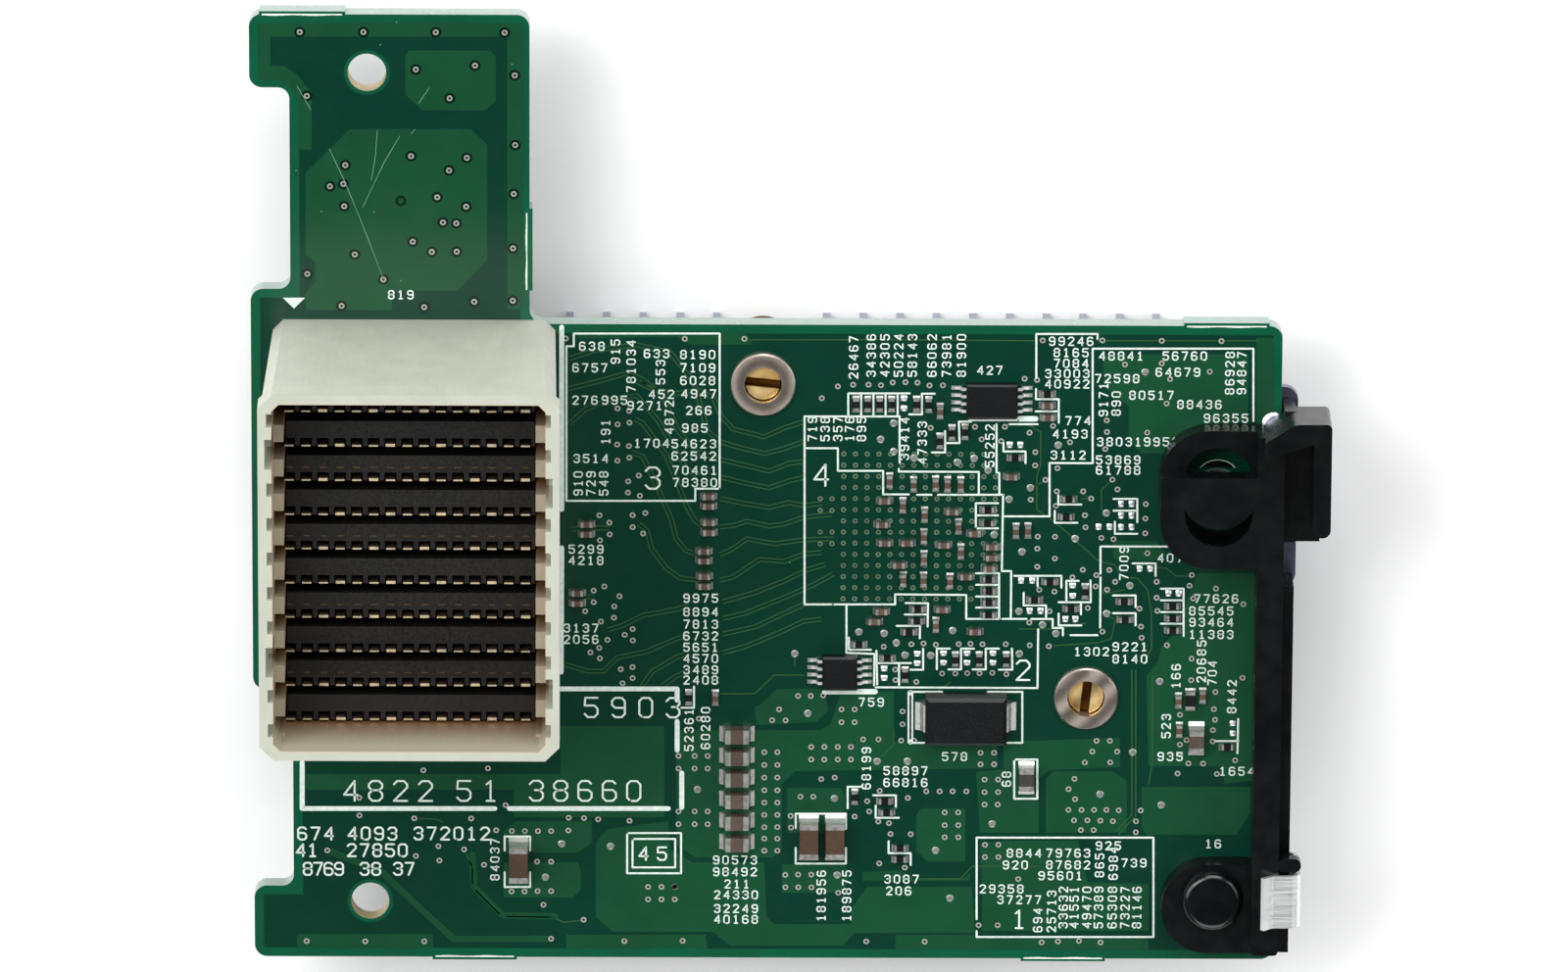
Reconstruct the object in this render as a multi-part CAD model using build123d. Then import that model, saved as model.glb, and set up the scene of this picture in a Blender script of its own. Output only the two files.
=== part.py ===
from build123d import *

import math
import os

import numpy

# A mezzanine card for a blade server, lying on its heatsink with its connector up.
# X runs along the board to the guide bracket, Y up the board's tab, Z out of the connector.
# Pieces are laid out from the board's lower left corner, then moved to the part's origin.

# Board
board_length = 88.1
board_width = 84.4
main_width = 57.1
tab_length = 23.8
board_thickness = 2.0
ear_width = 6.45
notch_width = 17.8
notch_depth = 3.4
corner_radius = 1.1
notch_radius = 1.0
inner_corner_radius = 1.3
stub_length = 7.3
stub_height = 0.25
mount_hole_diameter = 3.3
mount_hole_inset_x = 10.0
mount_hole_inset_y = 5.1

# Controller under the heatsink, its centre a share of the board's length and main width
chip_length_share = 0.655
chip_width_share = 0.662
substrate_length = 23.0
substrate_thickness = 1.1
lid_length = 17.0
lid_thickness = 1.0
pad_length = 16.0
pad_thickness = 0.3

# Heatsink
sink_width = 33.4
sink_base_thickness = 2.0
fin_count = 17
fin_pitch = 3.16
fin_thickness = 0.6
fin_height = 6.2
sink_offset = 5.3

# Heatsink fasteners
screw_reach_x = 13.95
screw_reach_y = 14.05
screw_diameter = 3.0
screw_head_diameter = 5.4
screw_head_thickness = 1.6
screw_tip_setback = 0.7
screw_slot_width = 0.8
screw_slot_depth = 0.9
screw_slot_angles = (-6, 84)
bush_flange_diameter = 5.5
bush_flange_thickness = 0.5
bush_body_diameter = 4.4
bush_tail = 0.4
spring_height = 3.4
spring_wire = 0.5
spring_turns = 3.5
running_clearance = 0.1
head_clearance = 0.25

# Connector housing
housing_x = 13.95
housing_y = 41.9
housing_height = 24.5
housing_length = 24.1
housing_width = 31.1
housing_flare = 0.3
housing_chamfer = 0.9
cavity_chamfer = 0.6
collar_step_x = 0.6
collar_step_y = 0.525
collar_height = 3.0
collar_chamfer = 1.2
side_wall = 0.575
end_wall = 0.3
housing_floor = 1.5
groove_width = 1.15
groove_depth = 0.45
groove_height = 3.6
rib_width = 1.5
rib_drop = 4.2
key_width = 2.6
key_depth = 0.6
key_height = 6.6

# Contacts and wafers
row_count = 10
top_row_inset = 2.91
last_row_inset = 0.32
column_count = 15
column_inset = 1.507
column_offset = -0.27
wafer_inset = 0.975
wafer_thickness = 2.2
contact_recess = 8.0
contact_width = 0.77
contact_thickness = 0.2
ground_thickness = 0.32
ground_step = 3
wafer_groove_depth = 0.7
wafer_groove_clearance = 0.12
contact_proud = 0.15
slot_clearance = 0.1

# Guide bracket, measured in and out from the board's right edge
lobe_reach = 10.4
lobe_low = 36.7
lobe_high = 48.4
lobe_radius = 4.3
lobe_thin = 2.3
lobe_thick = 4.3
step_y = 44.8
slot_radius = 2.9
full_round_share = 0.98
slot_low = 38.7
slot_high = 46.9
bridge_low = 40.2
bar_inset = 2.1
bar_overhang = 0.2
ledge_overhang = 1.2
ledge_height = 2.0
ledge_break_low = 34.4
edge_clearance = 0.2
foot_low = 1.3
bar_low = 1.75
foot_high = 9.35
foot_reach = 9.8
foot_radius = 3.95
grip_overhang = 4.1
grip_thickness = 1.5
round_end_share = 0.45
soft_end_share = 0.3
grip_low = 40.0
grip_high = 50.1
grip_height = 6.0
grip_floor_low = 38.4
grip_floor_base = 0.5
grip_floor_top = 1.7
hook_inset = 1.6
knob_reach = 0.9
knob_width = 1.2
knob_thickness = 1.1
bracket_hole_inset = 5.4
upper_hole_y = 42.3
upper_hole_diameter = 4.2
post_diameter = 3.6
post_tail = 0.8
lower_hole_y = 6.2
pin_diameter = 3.0
rivet_head_diameter = 5.3
rivet_head_height = 1.0
rivet_round_share = 0.7
rivet_foot_diameter = 4.2
rivet_foot_height = 0.8
edge_break = 0.35

# Backing plate and spring clip
plate_inset = 2.9
plate_overhang = 1.5
plate_low = 33.2
plate_high = 51.1
plate_thickness = 0.8
plate_radius = 1.2
clip_low = 4.4
clip_width = 4.7
clip_inset = 0.4
clip_overhang = 2.1
clip_thickness = 0.4
clip_return = 3.0
clip_lip = 0.8

# Surface-mount chips, each a length, a width, a height and the length of one end cap
small_capacitor = (1.0, 0.5, 0.5, 0.25)
small_resistor = (1.0, 0.5, 0.35, 0.2)
bridge_resistor = (1.6, 0.8, 0.45, 0.3)
bulk_capacitor = (2.0, 1.25, 1.25, 0.45)
large_capacitor = (3.2, 1.6, 1.6, 0.5)
ferrite_size = (2.0, 1.25, 0.9, 0.45)
tantalum_length = 7.0
tantalum_width = 4.3
tantalum_height = 1.9
tantalum_chamfer = 0.3
terminal_width = 2.4
terminal_thickness = 0.15
terminal_under = 1.3
terminal_rise = 1.0

# Eight-lead chips
lead_pitch = 0.65
lead_count = 4
lead_width = 0.24
lead_thickness = 0.15
lead_foot = 0.5
body_lift = 0.1
body_height = 0.95
upper_chip_length = 4.4
lower_chip_length = 3.0
chip_width = 3.0
lead_reach = 0.95

# Parts on the hidden side
inductor_size = 6.6
inductor_height = 3.0
inductor_core_diameter = 5.6
inductor_core_height = 0.3
crystal_length = 5.0
crystal_width = 3.2
crystal_height = 1.2
hidden_radius = 0.6
memory_length = 3.9
memory_width = 4.9

cut_overrun = 1.0

# Sizes at which the photo's pixels were measured
photo_length = 88.1
photo_width = 84.4
photo_main_width = 57.1
photo_housing_length = 24.1

# Photo pixels of four board corners: tab, upper right, lower right, lower left
corner_pixels = ((253.7, 14.8), (1309.1, 333.3), (1298.9, 978.7), (260.2, 975.7))

# Photo pixels of the visible parts, centre by centre
capacitors_across = (
    (1068.7, 413.4), (1069.5, 425.8), (1032.0, 486.0), (902.8, 510.8), (971.7, 521.7),
    (899.9, 534.7), (994.7, 544.0), (902.8, 553.6), (925.8, 553.6), (963.0, 555.6),
    (1012.0, 557.8), (1012.0, 568.7), (1009.5, 579.6), (917.2, 576.2), (985.8, 588.0),
    (899.4, 623.6), (892.3, 633.7), (961.4, 621.5), (995.0, 644.0),
    (723.1, 506.3), (723.1, 515.9), (723.5, 532.6), (723.5, 542.8),
    (718.3, 562.0), (718.3, 571.7), (718.7, 587.4), (718.7, 597.6),
)
connector_capacitors = (
    (598.5, 534.5), (598.5, 544.4), (589.2, 604.6), (589.2, 614.9),
)
capacitors_along = (
    (959.3, 419.7), (907.8, 490.6), (932.3, 494.4), (954.7, 493.7), (966.9, 494.4),
    (980.4, 494.6), (921.3, 515.8), (943.5, 525.4), (978.0, 537.4), (942.8, 547.6),
    (1036.7, 541.8), (1049.0, 541.5), (980.6, 563.0), (942.8, 569.8), (921.7, 591.3),
    (942.4, 591.6), (969.4, 593.0), (955.0, 637.8), (730.0, 711.9),
    (1202.4, 715.0), (1227.2, 710.0), (1203.4, 744.9),
)
resistors_across = (
    (1068.7, 401.9), (1035.9, 467.0), (1008.2, 520.0), (1007.6, 533.5), (1008.8, 591.2),
    (1009.2, 603.0), (1009.2, 615.1), (1008.7, 627.4), (1071.4, 593.5), (1055.6, 611.9),
    (936.5, 621.3), (935.6, 633.4), (927.6, 644.7), (876.4, 657.4), (905.4, 671.4),
    (1090.7, 509.2), (1087.9, 527.3), (1092.8, 621.0), (1147.2, 613.8), (1148.2, 632.0),
    (1196.6, 618.2), (1196.6, 630.8), (1196.6, 643.0), (1252.4, 762.0),
    (902.8, 817.3), (904.7, 828.7), (918.5, 865.0), (918.3, 876.5),
)
resistors_along = (
    (873.4, 412.5), (885.5, 412.5), (897.7, 412.5), (909.8, 412.5), (935.3, 412.5),
    (947.7, 413.0), (971.4, 441.5), (959.2, 450.0), (984.8, 440.7), (923.5, 688.4),
    (974.8, 673.0), (999.2, 673.0), (1026.6, 673.0), (1107.2, 603.5), (702.8, 711.5),
    (872.2, 813.0),
)
bridge_resistor_pixel = (1214.6, 714.0)
bulk_capacitors_across = (
    (752.0, 748.3), (752.0, 770.3), (752.0, 792.3), (752.0, 814.3), (752.0, 836.3), (752.0, 858.3),
)
bulk_capacitor_along = (1220.7, 753.5)
large_capacitors_along = ((529.2, 878.0), (825.3, 854.0), (852.0, 854.0))
ferrite_pixel = (1047.3, 793.6)
tantalum_pixel = (985.4, 730.5)
upper_chip_pixel = (1012.2, 407.2)
lower_chip_pixel = (856.8, 684.8)
stubs_below = ((484.5, 976.5), (1084.5, 978.5))
stub_on_tab = (308.0, 15.0)
stub_on_main = (1252.0, 333.0)
stub_beside_tab = (540.5, 255.0)
rim_top_pixel = (416.5, 408.5)
rim_low_pixel = (416.5, 772.5)
keys_left = ((271.0, 464.0), (271.0, 676.5))
keys_right = ((558.0, 502.6), (553.0, 708.0))

# Places on the hidden side, as shares of the board's length and main width
inductor_shares = ((0.38, 0.18), (0.49, 0.18))
crystal_share = (0.80, 0.22)
memory_share = (0.65, 0.16)
hidden_tantalum_shares = ((0.24, 0.12), (0.24, 0.24))

# Worked-out levels and places
chip_x = board_length * chip_length_share
chip_y = main_width * chip_width_share
collar_length = housing_length + 2 * collar_step_x
collar_width = housing_width + 2 * collar_step_y
cavity_length = housing_length - 2 * side_wall
cavity_width = housing_width - 2 * end_wall
wafer_length = cavity_length - 2 * wafer_inset
column_pitch = (cavity_length - 2 * column_inset) / (column_count - 1)
row_pitch = (cavity_width - top_row_inset - last_row_inset) / (row_count - 1)
lobe_left = board_length - lobe_reach
bar_left = board_length - bar_inset
bar_top_right = board_length + bar_overhang
ledge_right = board_length + ledge_overhang
foot_left = board_length - foot_reach
grip_right = board_length + grip_overhang
hook_start = board_length - hook_inset
bracket_hole_x = board_length - bracket_hole_inset
plate_left = board_length - plate_inset
plate_right = board_length + plate_overhang
clip_left = board_length - clip_inset
clip_right = board_length + clip_overhang
chip_stack = substrate_thickness + lid_thickness + pad_thickness
board_bottom = fin_height + sink_base_thickness + chip_stack
board_top = board_bottom + board_thickness
mouth_level = board_top + housing_height
origin_x = grip_right / 2
origin_y = board_width / 2
sink_x = chip_x - sink_offset
sink_length = (fin_count - 1) * fin_pitch + fin_thickness
screw_places = (
    (chip_x - screw_reach_x, chip_y + screw_reach_y),
    (chip_x + screw_reach_x, chip_y - screw_reach_y),
)
contact_tip = mouth_level - contact_recess
wafer_top = contact_tip - contact_proud
first_row = housing_y - cavity_width / 2 + last_row_inset
rows = [first_row + row_pitch * (row_count - 1 - step) for step in range(row_count)]
columns = [
    housing_x + column_offset + column_pitch * (step - (column_count - 1) / 2)
    for step in range(column_count)
]


def photo_map():
    """Work out the projective map from photo pixels to places on the board as photographed."""
    corners = (
        (0, photo_width),
        (photo_length, photo_main_width),
        (photo_length, 0),
        (0, 0),
    )
    lines = []
    values = []
    for (across, down), (x, y) in zip(corner_pixels, corners):
        lines.append([across, down, 1, 0, 0, 0, -across * x, -down * x])
        lines.append([0, 0, 0, across, down, 1, -across * y, -down * y])
        values.extend([x, y])
    return numpy.linalg.solve(numpy.array(lines), numpy.array(values))


board_map = photo_map()


def spot(pixel):
    """Give the place on the board of a photo pixel, in step with the board's size."""
    across, down = pixel
    a, b, c, d, e, f, g, h = (float(value) for value in board_map)
    share = g * across + h * down + 1
    x = (a * across + b * down + c) / share
    y = (d * across + e * down + f) / share
    return x * board_length / photo_length, y * main_width / photo_main_width


def block(low, high):
    """Make a box between two opposite corners."""
    size = [upper - lower for lower, upper in zip(low, high)]
    middle = [(upper + lower) / 2 for lower, upper in zip(low, high)]
    return Pos(*middle) * Box(*size)


def post(x, y, diameter, low, high):
    """Make an upright cylinder between two levels."""
    return Pos(x, y, (low + high) / 2) * Cylinder(diameter / 2, high - low)


def slab(outline, low, high):
    """Extrude a rounded outline, given as corners with radii, between two levels."""
    points = [(x, y) for x, y, radius in outline]
    radii = [radius for x, y, radius in outline]
    edge = FilletPolyline(*points, radius=radii, close=True)
    return Pos(0, 0, low) * extrude(make_face(edge), high - low)


def save(name, solids):
    """Move solids from the board's corner to the part's origin and write one node."""
    shape = solids[0] if len(solids) == 1 else Compound(solids)
    export_step(Pos(-origin_x, -origin_y, 0) * shape, f"parts/{name}.step")


# Circuit board
def circuit_board():
    middle_low = ear_width + notch_width
    middle_high = board_width - ear_width - notch_width
    outline = (
        (0, 0, corner_radius),
        (board_length, 0, corner_radius),
        (board_length, main_width, corner_radius),
        (tab_length, main_width, inner_corner_radius),
        (tab_length, board_width, corner_radius),
        (0, board_width, corner_radius),
        (0, board_width - ear_width, corner_radius),
        (notch_depth, board_width - ear_width, notch_radius),
        (notch_depth, middle_high, notch_radius),
        (0, middle_high, corner_radius),
        (0, middle_low, corner_radius),
        (notch_depth, middle_low, notch_radius),
        (notch_depth, ear_width, notch_radius),
        (0, ear_width, corner_radius),
    )
    board = slab(outline, board_bottom, board_top)
    stub = Box(stub_length, 2 * stub_height, board_thickness)
    level = (board_bottom + board_top) / 2
    for pixel in stubs_below:
        board += Pos(spot(pixel)[0], 0, level) * stub
    board += Pos(spot(stub_on_tab)[0], board_width, level) * stub
    board += Pos(spot(stub_on_main)[0], main_width, level) * stub
    board += Pos(tab_length, spot(stub_beside_tab)[1], level) * Rot(0, 0, 90) * stub
    low = board_bottom - cut_overrun
    high = board_top + cut_overrun
    for y in (mount_hole_inset_y, board_width - mount_hole_inset_y):
        board -= post(mount_hole_inset_x, y, mount_hole_diameter, low, high)
    board -= post(bracket_hole_x, lower_hole_y, mount_hole_diameter, low, high)
    board -= post(bracket_hole_x, upper_hole_y, upper_hole_diameter, low, high)
    for x, y in screw_places:
        board -= post(x, y, bush_body_diameter, low, high)
    return board


# Controller and its heatsink
def square_plate(side, low, thickness):
    return Pos(chip_x, chip_y, low + thickness / 2) * Box(side, side, thickness)


def heatsink():
    base_low = fin_height
    left = sink_x - sink_length / 2
    low_y = chip_y - sink_width / 2
    high_y = chip_y + sink_width / 2
    sink = block(
        (left, low_y, base_low), (left + sink_length, high_y, base_low + sink_base_thickness)
    )
    pocket = screw_head_diameter / 2 + head_clearance
    for step in range(fin_count):
        fin_left = left + step * fin_pitch
        start, stop = low_y, high_y
        for x, y in screw_places:
            if abs(fin_left + fin_thickness / 2 - x) < pocket + fin_thickness / 2:
                if y > chip_y:
                    stop = y - pocket
                else:
                    start = y + pocket
        sink += block((fin_left, start, 0), (fin_left + fin_thickness, stop, base_low))
    for x, y in screw_places:
        sink -= post(
            x, y, screw_diameter + 2 * head_clearance, base_low - cut_overrun, board_bottom
        )
    return sink


def threaded_bush(x, y):
    """Flanged bush: the flange seats on the board's front, the body fills the board's hole."""
    low = board_bottom - bush_tail
    bush = post(x, y, bush_body_diameter, low, board_top)
    bush += post(x, y, bush_flange_diameter, board_top, board_top + bush_flange_thickness)
    rim = bush.edges().group_by(Axis.Z)[-1]
    bush = chamfer(rim, bush_flange_thickness / 4)
    bore = screw_diameter + 2 * running_clearance
    return bush - post(x, y, bore, low - cut_overrun, mouth_level)


def heatsink_screw(x, y, angle):
    tip = board_top + bush_flange_thickness - screw_tip_setback
    head_top = fin_height - spring_height
    head_low = head_top - screw_head_thickness
    screw = post(x, y, screw_diameter, head_top, tip)
    screw += post(x, y, screw_head_diameter, head_low, head_top)
    for level in (tip, head_low):
        screw -= Pos(x, y, level) * Rot(0, 0, angle) * Box(
            screw_head_diameter * 2, screw_slot_width, 2 * screw_slot_depth
        )
    return screw


def heatsink_spring(x, y):
    """Coil between the screw's head and the heatsink's base, its wire centre half a wire in."""
    middle_radius = screw_diameter / 2 + running_clearance + spring_wire / 2
    length = spring_height - spring_wire
    path = Helix(pitch=length / spring_turns, height=length, radius=middle_radius)
    section = Plane(origin=path @ 0, z_dir=path % 0) * Circle(spring_wire / 2)
    coil = sweep(section, path=path, is_frenet=True)
    return Pos(x, y, fin_height - spring_height + spring_wire / 2) * coil


# Connector
def housing_section(length, width, level, corner):
    outline = chamfer(Rectangle(length, width).vertices(), corner)
    return Pos(housing_x, housing_y, level) * outline


def connector_housing():
    collar_low = mouth_level - collar_height
    body = loft([
        housing_section(housing_length, housing_width, board_top, housing_chamfer),
        housing_section(
            housing_length + 2 * housing_flare, housing_width + 2 * housing_flare, collar_low,
            housing_chamfer,
        ),
    ])
    collar = housing_section(collar_length, collar_width, collar_low, collar_chamfer)
    body += extrude(collar, collar_height)
    floor_top = board_top + housing_floor
    left = housing_x - cavity_length / 2
    right = housing_x + cavity_length / 2
    low = housing_y - cavity_width / 2
    cavity = housing_section(cavity_length, cavity_width, floor_top, cavity_chamfer)
    body -= extrude(cavity, mouth_level + cut_overrun - floor_top)
    wafer_reach = wafer_length / 2 + slot_clearance
    rib_top = mouth_level - rib_drop
    for row in rows:
        gap_low = row - contact_thickness / 2 - rib_width
        groove_y = row + row_pitch / 2
        rib_low = max(gap_low, low)
        rib_high = row - contact_thickness / 2
        for inner, outer in ((housing_x - wafer_reach, left), (housing_x + wafer_reach, right)):
            if rib_high - rib_low > contact_thickness:
                body += block(
                    (min(inner, outer), rib_low, floor_top), (max(inner, outer), rib_high, rib_top)
                )
            side = math.copysign(groove_depth, outer - inner)
            body -= block(
                (min(outer, outer + side), groove_y - groove_width / 2, mouth_level - groove_height),
                (max(outer, outer + side), groove_y + groove_width / 2, mouth_level + cut_overrun),
            )
    for pixels, wall, side in ((keys_left, left, -1), (keys_right, right, 1)):
        for pixel in pixels:
            y = key_place(pixel)
            body -= block(
                (min(wall, wall + side * key_depth), y - key_width / 2, mouth_level - key_height),
                (max(wall, wall + side * key_depth), y + key_width / 2, mouth_level + cut_overrun),
            )
    half_span = column_pitch * (column_count - 1) / 2 + contact_width / 2 + slot_clearance
    middle = housing_x + column_offset
    half_slot = ground_thickness / 2 + slot_clearance
    for row in rows:
        body -= block(
            (middle - half_span, row - half_slot, board_top - cut_overrun),
            (middle + half_span, row + half_slot, floor_top + cut_overrun),
        )
    return body


def key_place(pixel):
    """Give the Y of a recess in the mouth's rim, whose pixel is read at the mouth's level."""
    top = housing_y + (cavity_width + collar_width) / 4
    low = housing_y - (cavity_width + collar_width) / 4
    share = (pixel[1] - rim_top_pixel[1]) / (rim_low_pixel[1] - rim_top_pixel[1])
    return top + (low - top) * share


def contact_wafer(row):
    """Insulating wafer whose grooved south side holds one row of contacts."""
    face = row - contact_thickness / 2
    section = Pos(housing_x, face + wafer_thickness / 2) * Rectangle(wafer_length, wafer_thickness)
    groove = Rectangle(contact_width + 2 * wafer_groove_clearance, 2 * wafer_groove_depth)
    for column in columns:
        section -= Pos(column, face) * groove
    low = board_top + housing_floor
    return Pos(0, 0, low) * extrude(section, wafer_top - low)


def contact_row(row, first_ground):
    """Row of contact strips that stand on the board and rise through the housing's floor."""
    strips = []
    for step, column in enumerate(columns):
        grounded = step >= first_ground and (step - first_ground) % ground_step == 0
        thickness = ground_thickness if grounded else contact_thickness
        south = row - contact_thickness / 2
        strips.append(block(
            (column - contact_width / 2, south, board_top),
            (column + contact_width / 2, south + thickness, contact_tip),
        ))
    return strips


# Bracket on the right edge
def guide_bracket():
    base = board_top
    thin = base + lobe_thin
    thick = base + lobe_thick
    lobe = (
        (lobe_left, lobe_low, lobe_radius),
        (bar_top_right, lobe_low, edge_break),
        (bar_top_right, lobe_high, edge_break),
        (lobe_left, lobe_high, lobe_radius),
    )
    body = slab(lobe, base, thin)
    raised = slab(lobe, thin, thick)
    raised -= block(
        (lobe_left - cut_overrun, step_y, thin - cut_overrun),
        (bar_left, lobe_high + cut_overrun, thick + cut_overrun),
    )
    body += raised
    slot_x = bracket_hole_x
    slot_round = slot_radius * full_round_share
    slot = (
        (slot_x - slot_radius, slot_low, slot_round),
        (slot_x + slot_radius, slot_low, slot_round),
        (slot_x + slot_radius, slot_high, slot_round),
        (slot_x - slot_radius, slot_high, slot_round),
    )
    body -= slab(slot, base - cut_overrun, thick + cut_overrun)
    bridge_radius = slot_radius + edge_break
    bridge = post(slot_x, bridge_low + bridge_radius, 2 * bridge_radius, thin, thick)
    bridge -= block(
        (slot_x - 2 * slot_radius, step_y, thin - cut_overrun),
        (slot_x + 2 * slot_radius, lobe_high, thick + cut_overrun),
    )
    body += bridge
    body += post(slot_x, upper_hole_y, post_diameter, board_bottom - post_tail, thin)
    bar = (
        (bar_left, bar_low, edge_break),
        (bar_top_right, bar_low, edge_break),
        (bar_top_right, lobe_high, edge_break),
        (bar_left, lobe_high, edge_break),
    )
    body += slab(bar, base, thick)
    foot = (
        (foot_left, foot_low, foot_radius),
        (bar_top_right, foot_low, edge_break),
        (bar_top_right, foot_high, edge_break),
        (foot_left, foot_high, foot_radius),
    )
    body += slab(foot, base, thin)
    ledge_left = board_length + edge_clearance
    for low, high in ((foot_low, ledge_break_low), (grip_floor_low, grip_high)):
        body += block(
            (ledge_left, low, board_bottom + edge_clearance), (ledge_right, high, base + ledge_height)
        )
    body += block(
        (ledge_left, grip_floor_low, base + grip_floor_base),
        (grip_right - grip_thickness / 2, grip_high, base + grip_floor_top),
    )
    flange = (
        (grip_right - grip_thickness, grip_low, grip_thickness * round_end_share),
        (grip_right, grip_low, grip_thickness * round_end_share),
        (grip_right, grip_high, grip_thickness * soft_end_share),
        (grip_right - grip_thickness, grip_high, grip_thickness * soft_end_share),
    )
    body += slab(flange, base + grip_floor_base, base + grip_height)
    hook = (
        (hook_start, lobe_high - grip_thickness, edge_break),
        (grip_right - grip_thickness / 2, grip_high - grip_thickness, edge_break),
        (grip_right - grip_thickness / 2, grip_high, edge_break),
        (ledge_left + grip_thickness / 2, grip_high, grip_thickness),
        (hook_start, lobe_high, edge_break),
    )
    body += slab(hook, base + grip_floor_base, base + grip_height)
    knob = (
        (bar_top_right, foot_high, edge_break),
        (ledge_right + knob_reach, foot_high, knob_width * round_end_share),
        (ledge_right + knob_reach, foot_high + knob_width, knob_width * round_end_share),
        (bar_top_right, foot_high + knob_width, edge_break),
    )
    body += slab(knob, thick - knob_thickness, thick)
    body -= post(
        bracket_hole_x, lower_hole_y, pin_diameter + 2 * running_clearance, base - cut_overrun, thick
    )
    return body


def bracket_rivet():
    """Push rivet: domed head on the bracket's foot, shank through the board, spread foot below."""
    seat = board_top + lobe_thin
    foot_low_level = board_bottom - rivet_foot_height
    head = post(bracket_hole_x, lower_hole_y, rivet_head_diameter, seat, seat + rivet_head_height)
    head = fillet(head.edges().group_by(Axis.Z)[-1], rivet_head_height * rivet_round_share)
    rivet = head + post(bracket_hole_x, lower_hole_y, pin_diameter, foot_low_level, seat)
    foot = post(
        bracket_hole_x, lower_hole_y, rivet_foot_diameter, foot_low_level, board_bottom
    )
    return rivet + chamfer(foot.edges().group_by(Axis.Z)[0], rivet_foot_height / 2)


def backing_plate():
    outline = (
        (plate_left, plate_low, plate_radius),
        (plate_right, plate_low, plate_radius),
        (plate_right, plate_high, plate_radius),
        (plate_left, plate_high, plate_radius),
    )
    return slab(outline, board_bottom - plate_thickness, board_bottom)


def spring_clip():
    """Sheet bent round the board's edge: a leaf on the bracket, a back, and a leaf below."""
    top = board_top + lobe_thick + clip_thickness / 2
    below = board_bottom - clip_thickness / 2
    side = clip_right - clip_thickness / 2
    start = clip_left
    end = clip_right - clip_return
    bend = 2 * clip_thickness
    path = FilletPolyline(
        (start - clip_lip, top + clip_lip),
        (start, top),
        (side, top),
        (side, below),
        (end, below),
        (end - clip_lip, below - clip_lip),
        radius=bend,
    )
    ribbon = trace(path, clip_thickness)
    return Pos(0, clip_low + clip_width, 0) * Rot(90, 0, 0) * extrude(ribbon, clip_width)


# Surface-mount chips
def chip_solids(x, y, size, turned):
    """Give a chip's body and its two end caps, lying across or along the board."""
    length, width, height, cap = size
    place = Pos(x, y, board_top + height / 2) * Rot(0, 0, 90 if turned else 0)
    body = place * Box(length - 2 * cap, width, height)
    reach = (length - cap) / 2
    ends = [place * Pos(side * reach, 0, 0) * Box(cap, width, height) for side in (-1, 1)]
    return body, ends


def chip_group(across, along, size):
    """Make many like chips: those across the board, then those along it."""
    bodies = []
    caps = []
    for pixels, turned in ((across, False), (along, True)):
        for pixel in pixels:
            body, ends = chip_solids(*spot(pixel), size, turned)
            bodies.append(body)
            caps.extend(ends)
    return bodies, caps


def places_beside_housing(pixels):
    """Give chip places whose distance from the housing's right side stays as photographed."""
    places = []
    for pixel in pixels:
        x, y = spot(pixel)
        gap = x * photo_length / board_length - housing_x - photo_housing_length / 2
        places.append((housing_x + housing_length / 2 + gap, y))
    return places


def tantalum_solids(x, y, base, upward):
    """Moulded tantalum capacitor with two strip terminals folded under its ends."""
    turn = Pos(x, y, base) * (Rot(0, 0, 0) if upward else Rot(180, 0, 0))
    body = Box(tantalum_length, tantalum_width, tantalum_height)
    body = chamfer(body.edges().group_by(Axis.Z)[-1], tantalum_chamfer)
    lift = terminal_thickness + tantalum_height / 2
    terminals = []
    for side in (-1, 1):
        end = tantalum_length / 2
        points = [
            (side * (end - terminal_under), 0),
            (side * (end + terminal_thickness), 0),
            (side * (end + terminal_thickness), terminal_rise),
            (side * end, terminal_rise),
            (side * end, terminal_thickness),
            (side * (end - terminal_under), terminal_thickness),
        ]
        outline = make_face(Polyline(*points, close=True))
        strip = Pos(0, terminal_width / 2, 0) * Rot(90, 0, 0) * extrude(outline, terminal_width)
        terminals.append(turn * upright(strip))
    return turn * Pos(0, 0, lift) * body, terminals


def upright(solid):
    """Bring a profile's extrusion to the middle of the Y axis, whichever way it ran."""
    box = solid.bounding_box()
    return Pos(0, -(box.min.Y + box.max.Y) / 2, -box.min.Z) * solid


def leaded_chip(x, y, length, width, base, upward):
    """Eight-lead chip: moulded body and four bent leads on each short side."""
    turn = Pos(x, y, base) * (Rot(0, 0, 0) if upward else Rot(180, 0, 0))
    body = Box(length, width, body_height)
    body = chamfer(body.edges().group_by(Axis.Z)[-1], body_height / 6)
    middle = body_lift + body_height / 2
    leads = []
    half = length / 2
    for side in (-1, 1):
        knee = half + (lead_reach - lead_foot) / 2
        ankle = half + lead_reach - lead_foot
        tip = half + lead_reach
        points = [
            (side * half, middle),
            (side * (knee + lead_thickness), middle),
            (side * (ankle + lead_thickness), lead_thickness),
            (side * tip, lead_thickness),
            (side * tip, 0),
            (side * ankle, 0),
            (side * knee, middle - lead_thickness),
            (side * half, middle - lead_thickness),
        ]
        profile = make_face(Polyline(*points, close=True))
        strip = upright(Rot(90, 0, 0) * extrude(profile, lead_width))
        for step in range(lead_count):
            offset = lead_pitch * (step - (lead_count - 1) / 2)
            leads.append(turn * Pos(0, offset, 0) * strip)
    return turn * Pos(0, 0, middle) * body, leads


def hidden_place(share):
    """Give a place on the hidden side from shares of the board's main part."""
    return board_length * share[0], main_width * share[1]


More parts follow.
